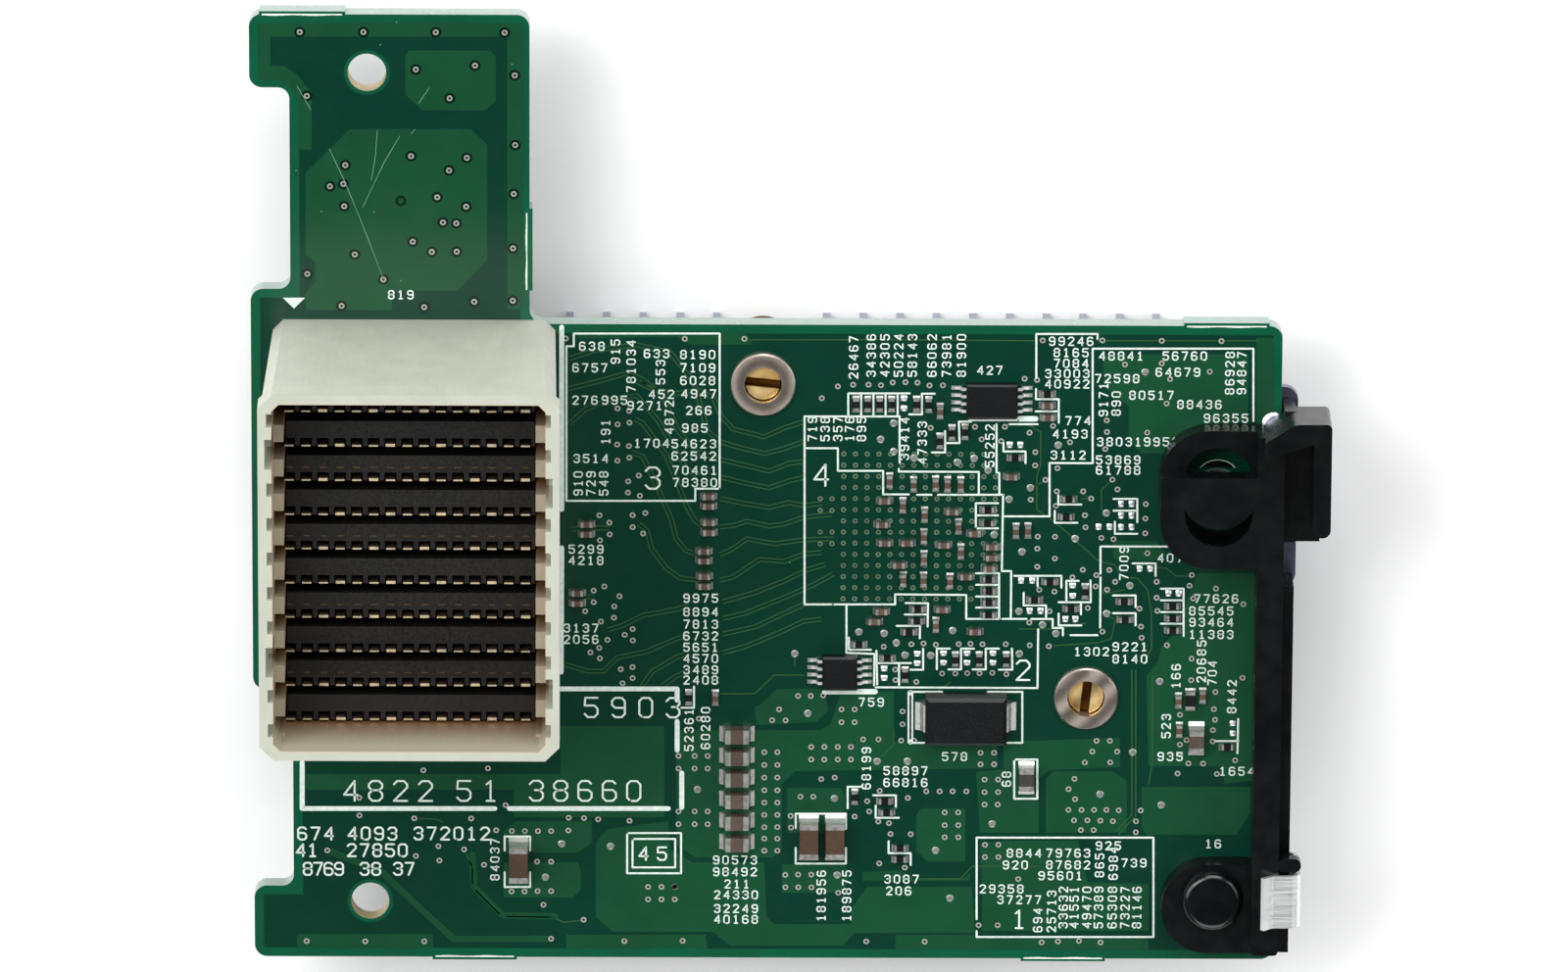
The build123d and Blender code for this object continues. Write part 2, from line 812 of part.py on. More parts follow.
def power_inductors():
    bodies = []
    cores = []
    for share in inductor_shares:
        x, y = hidden_place(share)
        case = Pos(x, y, board_bottom - inductor_height / 2) * Box(
            inductor_size, inductor_size, inductor_height
        )
        bodies.append(fillet(case.edges().filter_by(Axis.Z), hidden_radius))
        low = board_bottom - inductor_height
        cores.append(post(x, y, inductor_core_diameter, low - inductor_core_height, low))
    return bodies, cores


def crystal():
    x, y = hidden_place(crystal_share)
    can = Pos(x, y, board_bottom - crystal_height / 2) * Box(
        crystal_length, crystal_width, crystal_height
    )
    return fillet(can.edges().filter_by(Axis.Z), hidden_radius)


def main():
    os.makedirs("parts", exist_ok=True)
    save("circuit_board", [circuit_board()])
    save("connector_housing", [connector_housing()])
    for step, row in enumerate(rows):
        number = f"{step + 1:02d}"
        first_ground = 2 if step % 2 == 0 else 3
        save(f"contact_wafer_{number}", [contact_wafer(row)])
        save(f"contact_row_{number}", contact_row(row, first_ground))

    lid_low = board_bottom - substrate_thickness - lid_thickness
    save("chip_substrate", [
        square_plate(substrate_length, board_bottom - substrate_thickness, substrate_thickness)
    ])
    save("chip_lid", [square_plate(lid_length, lid_low, lid_thickness)])
    save("thermal_pad", [square_plate(pad_length, lid_low - pad_thickness, pad_thickness)])
    save("heatsink", [heatsink()])
    save("threaded_bushes", [threaded_bush(x, y) for x, y in screw_places])
    save("heatsink_screws", [
        heatsink_screw(x, y, angle) for (x, y), angle in zip(screw_places, screw_slot_angles)
    ])
    save("heatsink_springs", [heatsink_spring(x, y) for x, y in screw_places])

    save("guide_bracket", [guide_bracket()])
    save("bracket_rivet", [bracket_rivet()])
    save("backing_plate", [backing_plate()])
    save("spring_clip", [spring_clip()])

    bodies, ends = chip_group(capacitors_across, capacitors_along, small_capacitor)
    for x, y in places_beside_housing(connector_capacitors):
        body, caps = chip_solids(x, y, small_capacitor, False)
        bodies.append(body)
        ends.extend(caps)
    save("small_capacitors", bodies)
    save("small_capacitor_ends", ends)
    bodies, ends = chip_group(resistors_across, resistors_along, small_resistor)
    bridge_body, bridge_ends = chip_solids(*spot(bridge_resistor_pixel), bridge_resistor, True)
    save("chip_resistors", bodies + [bridge_body])
    save("chip_resistor_ends", ends + bridge_ends)
    bodies, ends = chip_group(bulk_capacitors_across, (bulk_capacitor_along,), bulk_capacitor)
    save("bulk_capacitors", bodies)
    save("bulk_capacitor_ends", ends)
    bodies, ends = chip_group((), large_capacitors_along, large_capacitor)
    save("large_capacitors", bodies)
    save("large_capacitor_ends", ends)
    body, ends = chip_solids(*spot(ferrite_pixel), ferrite_size, True)
    save("ferrite_bead", [body])
    save("ferrite_bead_ends", ends)

    body, terminals = tantalum_solids(*spot(tantalum_pixel), board_top, True)
    save("tantalum_capacitor", [body])
    save("tantalum_terminals", terminals)
    hidden = [
        tantalum_solids(*hidden_place(share), board_bottom, False)
        for share in hidden_tantalum_shares
    ]
    save("rear_tantalums", [body for body, terminals in hidden])
    save("rear_tantalum_terminals", [strip for body, terminals in hidden for strip in terminals])

    body, leads = leaded_chip(
        *spot(upper_chip_pixel), upper_chip_length, chip_width, board_top, True
    )
    save("upper_chip", [body])
    save("upper_chip_leads", leads)
    body, leads = leaded_chip(
        *spot(lower_chip_pixel), lower_chip_length, chip_width, board_top, True
    )
    save("lower_chip", [body])
    save("lower_chip_leads", leads)
    body, leads = leaded_chip(
        *hidden_place(memory_share), memory_length, memory_width, board_bottom, False
    )
    save("memory_chip", [body])
    save("memory_chip_leads", leads)

    bodies, cores = power_inductors()
    save("power_inductors", bodies)
    save("inductor_cores", cores)
    save("crystal_can", [crystal()])


main()
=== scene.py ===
import math

import bmesh
import bpy
import numpy
from mathutils import Matrix, Vector

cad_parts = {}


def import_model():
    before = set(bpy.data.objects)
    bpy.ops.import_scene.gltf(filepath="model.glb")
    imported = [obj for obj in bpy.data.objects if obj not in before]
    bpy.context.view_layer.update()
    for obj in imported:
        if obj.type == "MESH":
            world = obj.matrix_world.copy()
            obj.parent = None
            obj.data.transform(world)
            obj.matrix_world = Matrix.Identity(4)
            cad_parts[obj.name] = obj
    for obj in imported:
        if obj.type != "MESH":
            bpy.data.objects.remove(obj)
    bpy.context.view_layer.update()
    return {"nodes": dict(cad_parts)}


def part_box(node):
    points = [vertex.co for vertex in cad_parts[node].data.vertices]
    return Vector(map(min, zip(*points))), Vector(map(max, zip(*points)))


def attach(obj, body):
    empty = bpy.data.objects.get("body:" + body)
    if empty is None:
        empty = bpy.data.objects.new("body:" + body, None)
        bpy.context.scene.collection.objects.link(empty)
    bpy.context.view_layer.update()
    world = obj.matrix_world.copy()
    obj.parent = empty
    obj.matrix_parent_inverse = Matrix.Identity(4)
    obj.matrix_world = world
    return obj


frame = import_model()

bl_info = {
    "name": "Mezzanine card dressing",
    "version": (1, 0, 0),
    "blender": (4, 5, 0),
    "location": "View3D > Sidebar > Mezzanine card",
    "description": "Solder mask, copper, solder, ink and finishes for a mezzanine card",
    "category": "Object",
}

# A millimetre in metres, and how many steps of a metre tell the points of a mesh apart
MM = 0.001
POINT_STEPS = 1e6

# Spacing of the wave texture's own rings in its unit, and of a turned part's in millimetres
WAVE_SPACING = math.tau / 20
RING_SPACING = 0.3 * math.tau

# The board's place, from its lower left corner
STUB = 0.25
BOARD_LOW, BOARD_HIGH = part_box("circuit_board")
LEFT = BOARD_LOW[0]
BOTTOM = BOARD_LOW[1] + STUB * MM
FRONT = BOARD_HIGH[2]
REAR = BOARD_LOW[2]
BOARD_LENGTH = (BOARD_HIGH[0] - BOARD_LOW[0]) / MM
BOARD_WIDTH = (BOARD_HIGH[1] - BOARD_LOW[1]) / MM - 2 * STUB
BOARD_THICKNESS = (FRONT - REAR) / MM

# Board outline, as the part's source gives it
MAIN_WIDTH = 57.1
TAB_LENGTH = 23.8
EAR_WIDTH = 6.45
NOTCH_WIDTH = 17.8
NOTCH_DEPTH = 3.4
HOLE_X = 10.0
HOLE_Y = 5.1
HOLE_RADIUS = 1.65
UPPER_HOLE = (82.7, 42.3)
UPPER_HOLE_RADIUS = 2.1
BUSHES = ((43.75, 51.85), (71.65, 23.75))
BUSH_HOLE_RADIUS = 2.45
GRID_FIRST = (50.69, 45.6)
GRID_COUNT = 14
GRID_PITCH = 1.0

# Camera, solved from the photo's board corners: place, right, up and back, in board millimetres
CAMERA_PLACE = (38.257, 394.038, 1147.390)
CAMERA_RIGHT = (0.99997669, 0.00471848, 0.00493582)
CAMERA_UP = (-0.00306647, 0.956166, -0.29280913)
CAMERA_BACK = (-0.00610108, 0.29278717, 0.95615817)
FOCAL_PIXELS = 14295
PHOTO_WIDTH = 1600
SENSOR = 36.0

# Photo pixels of four board corners: tab, upper right, lower right, lower left
CORNER_PIXELS = ((253.7, 14.8), (1309.1, 333.3), (1298.9, 978.7), (260.2, 975.7))

# Heights of the thin layers above the laminate, in millimetres
PLANE_LEVEL = 0.012
COPPER_LEVEL = 0.024
TRACE_LEVEL = 0.036
ANTIPAD_LEVEL = 0.048
PAD_LEVEL = 0.060
INK_LEVEL = 0.066
JOINT_RISE = 0.002

# Mask: how far it stays from the board's edge and from its holes, in millimetres
MASK_INSET = 0.8
MASK_HOLE_MARGIN = 0.32
REAR_MASK_HOLE_MARGIN = 0.5
UPPER_HOLE_MARGIN_SHARE = 0.25

# Torn stubs, their width and its swing as shares of the stub, and the lining of the holes
FRAY_STEPS = 14
FRAY_WIDTH_SHARE = 0.55
FRAY_SWING_SHARE = 0.12
FRAY_TURN = 0.9
FRAY_RISE = 0.03
WALL_GAP = 0.01

# Wide traces and the grid's rings, as shares of a trace's width and of a via's ring
WIDE_TRACE_SHARE = 5
GRID_RING_SHARE = 0.45

# Bare pads, in millimetres
TEST_PAD_RISE = 0.05
SPARE_PAD_HALF = (0.25, 0.28)
SPARE_PAD_RISE = 0.08
SPARE_PAD_SLOPE = 0.07

# Solder joints, in millimetres and as shares of the joint's reach and height
JOINT_MARGIN = 0.05
JOINT_BASE = 0.02
JOINT_RIM = 0.06
FILLET_PLACE_SHARE = 0.4
FILLET_RISE_SHARE = 0.35
THIN_JOINT_REACH = 0.3
LEAD_TOE = 0.35
LEAD_HEEL = 0.55
LEAD_SIDE = 0.06
LEAD_JOINT_RISE = 0.14
LEAD_JOINT_SLOPE = 0.05

# Chips and their ends, the reach of their joints and how high it climbs as a share of the end
JOINTS = (
    ("small_capacitors", "small_capacitor_ends", 0.24, 0.7),
    ("chip_resistors", "chip_resistor_ends", 0.24, 0.8),
    ("bulk_capacitors", "bulk_capacitor_ends", 0.52, 0.55),
    ("large_capacitors", "large_capacitor_ends", 0.5, 0.55),
    ("ferrite_bead", "ferrite_bead_ends", 0.5, 0.6),
    ("tantalum_capacitor", "tantalum_terminals", 0.7, 0.6),
)

# Printed lines and digits, as shares of the ink's width and of the digits' height
WIDE_INK_SHARE = 2.5
BROAD_INK_SHARE = 2.8
SMALL_NUMBER_INK_SHARE = 0.72
NUMBER_SPACING_SHARE = 1.16
DIGIT_COLUMNS = 4
DIGIT_ROWS = 6
DIGIT_WIDTH_SHARE = 0.95
NUMBER_STEP = 7919

# Connector, in millimetres: its mouth's walls and the depths of its painted shade, wafer marks, ground tips
# and the black dashes beside it
ROW_COUNT = 10
MOUTH_WALLS = (0.95, 0.7)
MOUTH_CORNER = 2.3
MOUTH_SHADE_DEPTHS = (8.0, 1.5)
MARKED_WAFERS = (3, 5, 7, 9)
WAFER_MARK_HALF = (0.28, 0.05)
WAFER_MARK_INSET = 1.15
WAFER_MARK_DEPTH = 0.05
WAFER_MARK_RISE = 0.02
THINNEST_GROUND = 0.25
GROUND_TIP_WIDTH = 0.24
GROUND_TIP_RISE = 0.01
BLACK_DASH_HALF = (0.12, 0.25)
BLACK_DASH_RISE = 0.1
BLACK_DASH_SLOPE = 0.03
SCREW_SLOT_SHADE_DEPTH = 0.25

# Scratches, specks, the arc in the bracket's opening and the rivet beside it, in millimetres
SCRATCH_WIDTH = 0.05
SPECK_RADIUS = 0.06
ARC_WIDTH = 0.09
SIDE_RIVET_RADIUS = 0.95
SIDE_RIVET_RISE = 0.22

# Rear face, in millimetres
REAR_LEAD_MARGIN = (0.2, 0.15)
REAR_PAD_REACH = 0.5
REAR_PAD_INSET = 0.6
REAR_JOINT_RISE = 0.12
REAR_JOINT_SLOPE = 0.06
REAR_OUTLINE_GAP = 0.9

# Stage, in metres and watts: the floor and each light's name, place, size and power
FLOOR_SIZE = 6.0
VIEW_DEPTH = 20.0
WORLD_STRENGTH = 0.08
LIGHTS = (
    ("north_light", (0.1, 1.0, 0.75), 0.8, 10.0),
    ("west_light", (-1.0, 0.2, 0.75), 0.8, 7.5),
    ("east_light", (1.0, 0.2, 0.75), 0.8, 7.5),
    ("south_light", (0.0, -1.05, 0.7), 0.8, 6.0),
    ("top_light", (-0.5, 0.45, 0.9), 0.5, 6.5),
)

# Photo pixels: copper areas under the solder mask
COPPER_AREAS = (
    ((264, 24), (530, 24), (534, 30), (534, 316), (517.6, 316), (517.6, 37.8), (276, 37.8),
     (276, 67), (290, 68), (303, 76), (318, 95), (318, 153), (305, 153), (305, 105), (297, 90),
     (285, 82), (264, 82)),
    ((417, 52), (500, 52), (505.9, 58), (505.9, 104), (495, 113), (431, 113), (413.5, 97),
     (413.5, 58)),
    ((357, 132), (481, 132), (497, 148), (497, 266), (467, 297), (400, 297), (400, 317),
     (313, 317), (311, 301), (322, 288), (322, 268), (311.8, 260), (311.8, 177)),
    ((590, 338), (700, 338), (762, 339), (768, 352), (704, 352), (690, 344), (590, 346)),
    ((1126, 362), (1274, 362), (1274, 428), (1225, 440), (1190, 463), (1165, 463), (1152, 448),
     (1152, 415), (1126, 395)),
    ((1282, 345), (1300, 345), (1300, 436), (1282, 436)),
    ((1185, 660), (1205, 640), (1212, 610), (1222, 585), (1281, 585), (1281, 796), (1250, 800),
     (1246, 782), (1172, 782), (1170, 690), (1182, 675)),
    ((1165, 803), (1276, 803), (1276, 830), (1262, 852), (1170, 852), (1165, 845)),
    ((1067, 795), (1075, 787), (1135, 787), (1150, 797), (1150, 850), (1067, 850)),
    ((1024, 757), (1143, 753), (1143, 783), (1070, 786), (1060, 795), (1060, 850), (1000, 850),
     (996, 788), (1024, 785)),
    ((770, 722), (778, 717), (793, 703), (842, 703), (845, 725), (833, 737), (772, 740)),
    ((690, 745), (838, 745), (848, 738), (858, 706), (912, 706), (912, 757), (1018, 757),
     (1018, 784), (812, 787), (798, 800), (798, 868), (788, 875), (710, 875), (690, 862)),
    ((803, 804), (858, 804), (862, 812), (862, 850), (803, 850)),
    ((798, 882), (862, 882), (866, 895), (862, 911), (798, 911)),
    ((620, 846), (682, 838), (684, 866), (706, 880), (780, 880), (782, 935), (790, 943),
     (868, 943), (868, 928), (885, 905), (992, 905), (995, 952), (872, 952), (860, 965),
     (745, 965), (728, 951), (626, 951), (608, 936), (608, 860)),
    ((935, 832), (940, 825), (985, 825), (985, 879), (946, 879), (935, 868)),
    ((572, 741), (678, 741), (678, 834), (524, 834), (524, 806), (312, 806), (312, 790),
     (572, 790)),
    ((514, 848), (526, 838), (604, 838), (604, 860), (590, 870), (514, 870)),
    ((514, 880), (590, 880), (593, 890), (593, 908), (584, 916), (514, 916)),
    ((303, 953), (442, 953), (442, 968), (303, 968)),
    ((578, 954), (720, 954), (722, 968), (578, 968)),
    ((914, 954), (996, 954), (996, 958), (1172, 958), (1172, 969), (914, 969)),
    ((1000, 860), (1030, 858), (1100, 858), (1110, 900), (1172, 902), (1172, 950), (1002, 950),
     (1002, 920)),
    ((880, 890), (918, 888), (930, 896), (984, 896), (990, 890), (990, 899), (880, 899)),
    ((1136, 552), (1180, 552), (1190, 566), (1176, 573), (1136, 570)),
)

# Photo pixels: courses of paired and single traces under the mask
PAIRED_TRACES = (
    ((640, 385), (665, 397), (690, 402), (712, 398), (728, 406), (736, 425), (748, 438),
     (780, 446), (800, 437), (822, 430)),
    ((735, 451), (755, 457), (780, 463), (800, 458), (822, 450)),
    ((735, 469), (760, 475), (785, 481), (805, 473), (822, 471)),
    ((735, 487), (760, 493), (785, 498), (805, 491), (822, 487)),
    ((735, 509), (760, 514), (785, 518), (805, 513), (820, 516), (838, 514)),
    ((735, 538), (750, 536), (762, 532), (785, 537), (800, 535), (820, 528), (848, 525)),
    ((735, 566), (748, 560), (762, 550), (790, 555), (820, 551), (850, 550)),
    ((735, 592), (748, 589), (775, 571), (800, 573), (822, 565), (838, 564)),
    ((738, 614), (770, 605), (800, 593), (825, 581), (842, 576)),
    ((738, 631), (760, 626), (800, 610), (830, 597), (850, 586)),
    ((738, 647), (770, 640), (800, 626), (822, 616)),
    ((738, 666), (760, 660), (790, 648), (820, 634), (838, 632)),
    ((648, 428), (656, 432), (680, 465), (690, 490), (700, 515), (708, 530), (716, 537)),
    ((645, 462), (656, 466), (672, 500), (685, 530), (690, 550), (700, 562), (712, 566)),
    ((652, 535), (660, 541), (665, 560), (680, 580), (694, 590), (712, 592)),
    ((580, 397), (612, 389), (640, 381), (655, 387), (675, 402), (692, 440), (712, 462), (735, 469)),
    ((582, 366), (606, 358), (650, 352), (684, 360), (708, 390), (722, 440), (735, 451)),
    ((582, 432), (597, 418), (622, 408), (650, 404), (672, 430), (700, 478), (712, 486)),
    ((620, 643), (636, 638), (656, 628), (690, 622), (704, 618)),
    ((576, 678), (600, 685), (616, 685), (630, 671), (660, 665), (690, 652), (704, 648)),
    ((655, 700), (666, 685), (690, 671), (704, 666)),
    ((676, 700), (690, 690), (704, 684)),
    ((1157, 684), (1157, 760), (1157, 832), (1140, 850)),
    ((584, 540), (600, 539), (622, 539)),
    ((580, 610), (592, 610), (606, 609)),
)
SINGLE_TRACES = (
    ((766, 347), (900, 347), (1057, 348)),
    ((1120, 348), (1284, 348)),
    ((820, 689), (790, 689), (770, 708), (735, 708)),
    ((811, 667), (811, 678)),
    ((1050, 434), (1062, 441), (1062, 474), (1058, 486), (1058, 520), (1066, 526)),
    ((1135, 490), (1124, 500), (1124, 520), (1129, 524)),
    ((1071, 529), (1080, 536), (1096, 550), (1121, 573), (1137, 576), (1146, 590), (1160, 590),
     (1171, 602), (1175, 625), (1175, 662), (1168, 676)),
    ((1123, 626), (1138, 632), (1134, 652), (1120, 656), (1076, 659)),
    ((1147, 602), (1127, 606), (1120, 596)),
    ((1218, 588), (1200, 588), (1190, 580), (1172, 578)),
    ((424, 835), (445, 836), (452, 839)),
    ((594, 939), (575, 941), (565, 936), (512, 935), (482, 905), (482, 885), (474, 868)),
    ((1040, 642), (1078, 642), (1108, 636)),
    ((912, 744), (912, 760), (896, 776)),
    ((935, 897), (980, 897), (992, 884), (1060, 884)),
    ((1176, 690), (1176, 780), (1172, 800)),
    ((1100, 502), (1113, 509), (1103, 509)),
    ((1068, 490), (1052, 498)),
    ((970, 696), (958, 704)),
)
WIDE_TRACES = (
    ((335, 868), (390, 890), (413, 912), (463, 958), (562, 958)),
    ((482, 872), (484, 905), (513, 934), (566, 935)),
)

# Photo pixels: plated via holes with their rings
VIAS = (
    (1074.6, 434.8), (1050.6, 441.7), (1056.5, 461.5), (1056.3, 475), (1129.4, 429.2),
    (1129.6, 441), (1170.7, 441.6), (1127.9, 458.4), (1091.9, 451.5), (1079, 477.9),
    (1066.8, 489.8), (1078.4, 501.5), (1105.4, 501.5), (1113.5, 508.9), (1135.2, 489.6),
    (1140.3, 499.6), (1051.8, 510), (1077.5, 516.3), (1107.1, 525.9), (1107.7, 538.2),
    (1169.2, 514.6), (1168.8, 529.3), (1168.6, 544.3), (1123.9, 549), (1136.3, 550.3),
    (1059, 547.7), (1076.6, 547.8), (1058.5, 560), (1076.5, 570), (1058.5, 578.5),
    (1105, 581.5), (1118.8, 587), (1132, 581.8), (1170.8, 564.6), (1138, 593.8),
    (1129.7, 601.8), (1180.3, 593.8), (1216.2, 587), (1213.8, 597.7), (1240.8, 600.8),
    (1268.8, 616.6), (1180.3, 610), (1181, 623.4), (1217.7, 610.8), (1162.8, 621.2),
    (1164.3, 639.5), (1165, 650.8), (1125, 644.6), (1190.8, 658.5), (1216, 672.3),
    (1215.4, 694.1), (1267.9, 691.7), (1076, 603.8), (1060.5, 602), (1071, 623.8),
    (1110, 620.5), (1118, 598.5), (1094.3, 589.2), (1070.3, 659.5), (1050.8, 658.5),
    (1050.3, 635.4), (1240.2, 706.2), (1238.7, 723.7), (1204.1, 729.4), (1239.9, 734.5),
    (1237.7, 745.1), (1210.8, 755.2), (1204.1, 759.8), (1237.5, 756.6), (1204.1, 770),
    (1212.7, 779), (1227.7, 779.2), (1201.7, 789.3), (1241.8, 789.8), (1260.4, 775.9),
    (870.6, 392.8), (886.3, 392.7), (899, 393.3), (911, 390.5), (924, 390.2), (936.2, 390.7),
    (948.5, 393.5), (962.2, 393.4), (949.7, 436.8), (995, 435.7), (1025.5, 435.7),
    (1001.7, 448.5), (1021.7, 450.3), (1045.6, 386.7), (1058.3, 388), (855, 394.5), (838.6, 406.5),
    (901.8, 660), (930, 657.4), (942.4, 656.7), (955, 658), (978.3, 657.3), (990.3, 657),
    (1002.6, 657.4), (1026.3, 657.4), (961.4, 687.3), (974.8, 687.3), (987, 687),
    (999.5, 687), (1012.6, 686.6), (1027, 688), (935, 695.8), (913.5, 683.4), (913.8, 694),
    (651.9, 485.4), (641, 491.3), (640.8, 502.8), (653, 506), (611.7, 525.9), (621.8, 533.5),
    (645.6, 525.8), (658.5, 523.6), (645.6, 538), (656.2, 544.5), (622.2, 545.4),
    (612.2, 551.4), (616.7, 598.6), (605.8, 602.8), (632.2, 608.5), (605.9, 614.6),
    (626.8, 618.8), (597.2, 623.8), (626.5, 630.4), (613.2, 634.2), (645.6, 642),
    (637.5, 647.8), (645.8, 653.6), (619.8, 653), (611.5, 661.2), (602.5, 665.8),
    (612.1, 671.8), (633.4, 682.9), (645.5, 680.8), (645.6, 692), (635.3, 697.2),
    (577.3, 345.6), (698.8, 346), (759.6, 346), (630.2, 417), (642, 419.5), (642.3, 431.5),
    (630.2, 433.3), (629.8, 453.8), (641.8, 455.3), (642.2, 467.2), (630, 470.2),
    (1064, 347.6), (1125, 347.6), (1185.5, 348), (1246.5, 348.3), (1148, 372.2), (1185.5, 371),
    (1194, 387), (1234.5, 379.5), (1190.5, 412),
    (814.4, 710.2), (827.4, 710.2), (840, 709.7), (795, 723.9), (787.9, 734.9), (801.7, 735.1),
    (858.7, 723.9), (872.1, 723.9), (858.7, 737), (872.1, 737), (880.8, 754.5), (896.4, 754.5),
    (713.1, 733.4), (838, 795), (851.8, 793.4), (816.8, 813), (829.9, 813), (884.9, 817.5),
    (887, 828), (872.2, 833.2), (801.3, 892.7), (814.4, 892.4), (827.8, 892.4), (801.5, 905.3),
    (814.6, 905.3), (828, 905.3), (855.4, 911), (897.2, 881), (919.6, 755.7), (932.7, 755.7),
    (921, 726), (921, 739), (897.7, 807), (896.3, 838.2), (907.1, 840), (929.3, 851.2),
    (908.7, 851), (923.3, 885.3), (806.9, 832.5), (807.2, 844.4), (945.2, 807.5),
    (958.9, 807.5), (972.1, 807.5), (986.1, 807.5), (926.4, 814.2), (1039, 897),
    (1000.6, 768.2), (1014.4, 768.2), (1000.6, 779.9), (1014.4, 779.9), (1004.7, 795.5),
    (1018.5, 795.5), (1004.7, 808.3), (1018.5, 808.3), (1004.7, 821), (1018.1, 821),
    (1005.1, 862), (1018.8, 862), (1005.1, 874.5), (1018.8, 874.5),
    (1096.4, 794.8), (1090.4, 805.2), (1097, 815.5), (1090.2, 826.4), (1103.6, 826.4),
    (1116.4, 826.4), (1129, 826.4), (1141.6, 826.8), (1096, 837), (1109.6, 837), (1122.8, 837.4),
    (1135.6, 838), (1103, 847), (1116, 847), (1164, 827), (1159.2, 838), (1159, 849.2),
    (1119, 756), (1132.6, 756), (1114.6, 767), (1140, 767), (1107, 778), (1133, 778),
    (1063, 961.6), (1079.6, 960.6), (1101, 960), (1123, 961.6), (884, 960.6), (943.6, 960.8),
    (696.6, 960), (637.2, 960.2), (562.4, 957.8), (433, 960.4), (372.8, 960.4), (313, 960.2),
    (480.8, 835.2), (473.6, 866.6), (447.4, 863.4), (448.4, 878), (424.4, 873.4), (494, 882.4),
    (506.4, 847.2), (522.4, 848), (535.6, 848), (549, 848), (562.4, 848), (580, 847.4),
    (580.4, 834.4), (596, 834.8), (610.4, 836), (642.4, 837.6), (548, 879.2), (562.4, 879.2),
    (522, 909.6), (535.4, 909.6), (548.6, 909.2), (562.4, 909.2), (554.6, 923.2), (595.6, 938.4),
    (661.4, 905), (675, 905), (688.6, 905), (661.4, 917.6), (675, 917.6), (688.6, 917.6),
    (516, 821.6), (366.8, 832), (366.6, 814), (498, 784), (432, 786), (422.8, 835), (334, 867.6),
    (998.6, 944), (1018, 944), (688.4, 904.6),
)
# Vias of the tab, in wide rings cleared of copper
TAB_VIAS = (
    (305.9, 33.1), (370.8, 33.1), (444.7, 33.3), (514.9, 33.7), (525.3, 77.3), (525.7, 148.4),
    (524.3, 198.2), (523.5, 253.7), (523.3, 307.1), (313.1, 98.2), (313.5, 279.8),
    (424.3, 71.2), (484.7, 67.3), (458.8, 100.6), (352.4, 168.8), (350.4, 188), (336.7, 190.4),
    (351.2, 210.8), (419.4, 159.6), (476.3, 161.4), (458.2, 174.3), (446.1, 201.6),
    (475.7, 211.2), (452, 227.3), (465.7, 228.2), (421.2, 246.9), (440.6, 257.3),
    (466.1, 257.1), (362, 260), (391.2, 285.5), (348.6, 312.4), (432.9, 313.7), (483.9, 308.2),
)
# Regular blocks of vias: columns and rows
VIA_BLOCKS = (
    ((692.4, 708.9, 722.2), (771.4, 784.2, 827.9, 841.0)),
    ((779.9, 793.3), (767.6, 780.6, 793.4, 806.4, 819.0, 831.5, 844.0, 855.7, 868.0)),
    ((827.8, 841.2, 854.9, 868.3), (762.2, 775.0)),
    ((964.0, 977.8), (829.0, 842.0, 854.3)),
)
GRID_EXTRA_COLUMNS = ((837.0, 849.0), (509.0, 521.0, 543.0, 555.0))

# Photo pixels: bare tinned test pads
TEST_PADS = (
    (1008.3, 480), (1051.4, 498), (1029.7, 509.7), (1014.4, 545.9), (1042.8, 563.2),
    (876.4, 645), (902.2, 646.4), (914.6, 656), (972.1, 643.6), (923.5, 668.6), (949.7, 669),
    (1039.7, 623.9), (1040.1, 667.3), (1063.8, 637.7), (1079.8, 454.4), (1129, 523.8),
    (1097.1, 549.8), (1153, 597.7), (1129.2, 626.2), (1077.4, 646.6), (1183.4, 695.4),
    (1155.8, 767.7), (824.3, 728), (711.7, 805.7), (851.6, 814.8), (895, 777), (926, 776.9),
    (954.6, 867.8), (1012.4, 840.8), (854.2, 892.8), (969.3, 916.5), (1122.5, 810.5),
    (1185, 821.5), (1168.5, 380), (623, 863.6), (556.6, 895), (573.2, 861), (811, 667),
)
SOLDER_BLOBS = (
    (912, 432), (898.6, 448.6), (912, 461), (932.6, 467.6), (977, 472), (994, 468),
)

# Photo pixels: empty pairs of pads, side by side and one above the other
SPARE_PAIRS = (
    (922.5, 406.7, 922.5, 417), (1030.4, 454.3, 1041.2, 454.3), (1042, 592.7, 1053.3, 592.7),
    (1050.7, 623.6, 1061.8, 623.6), (902.2, 682.4, 902.2, 692), (936, 667.3, 936, 677),
    (962.8, 666.9, 962.8, 676.7), (986.8, 666.9, 986.8, 676.7), (1013.2, 666.9, 1013.2, 676.7),
    (1144.2, 514.6, 1154.8, 514.6), (1144.2, 526.3, 1154.8, 526.3),
    (1144.2, 538.2, 1154.8, 538.2), (1121.1, 537.9, 1132.3, 537.9),
    (1094.6, 597.7, 1094.6, 608.2), (1087.2, 632, 1097.4, 632), (1163, 580.5, 1173.8, 580.5),
    (1192.3, 605.8, 1202.8, 605.8), (1258.2, 738.4, 1258.2, 748.5),
)

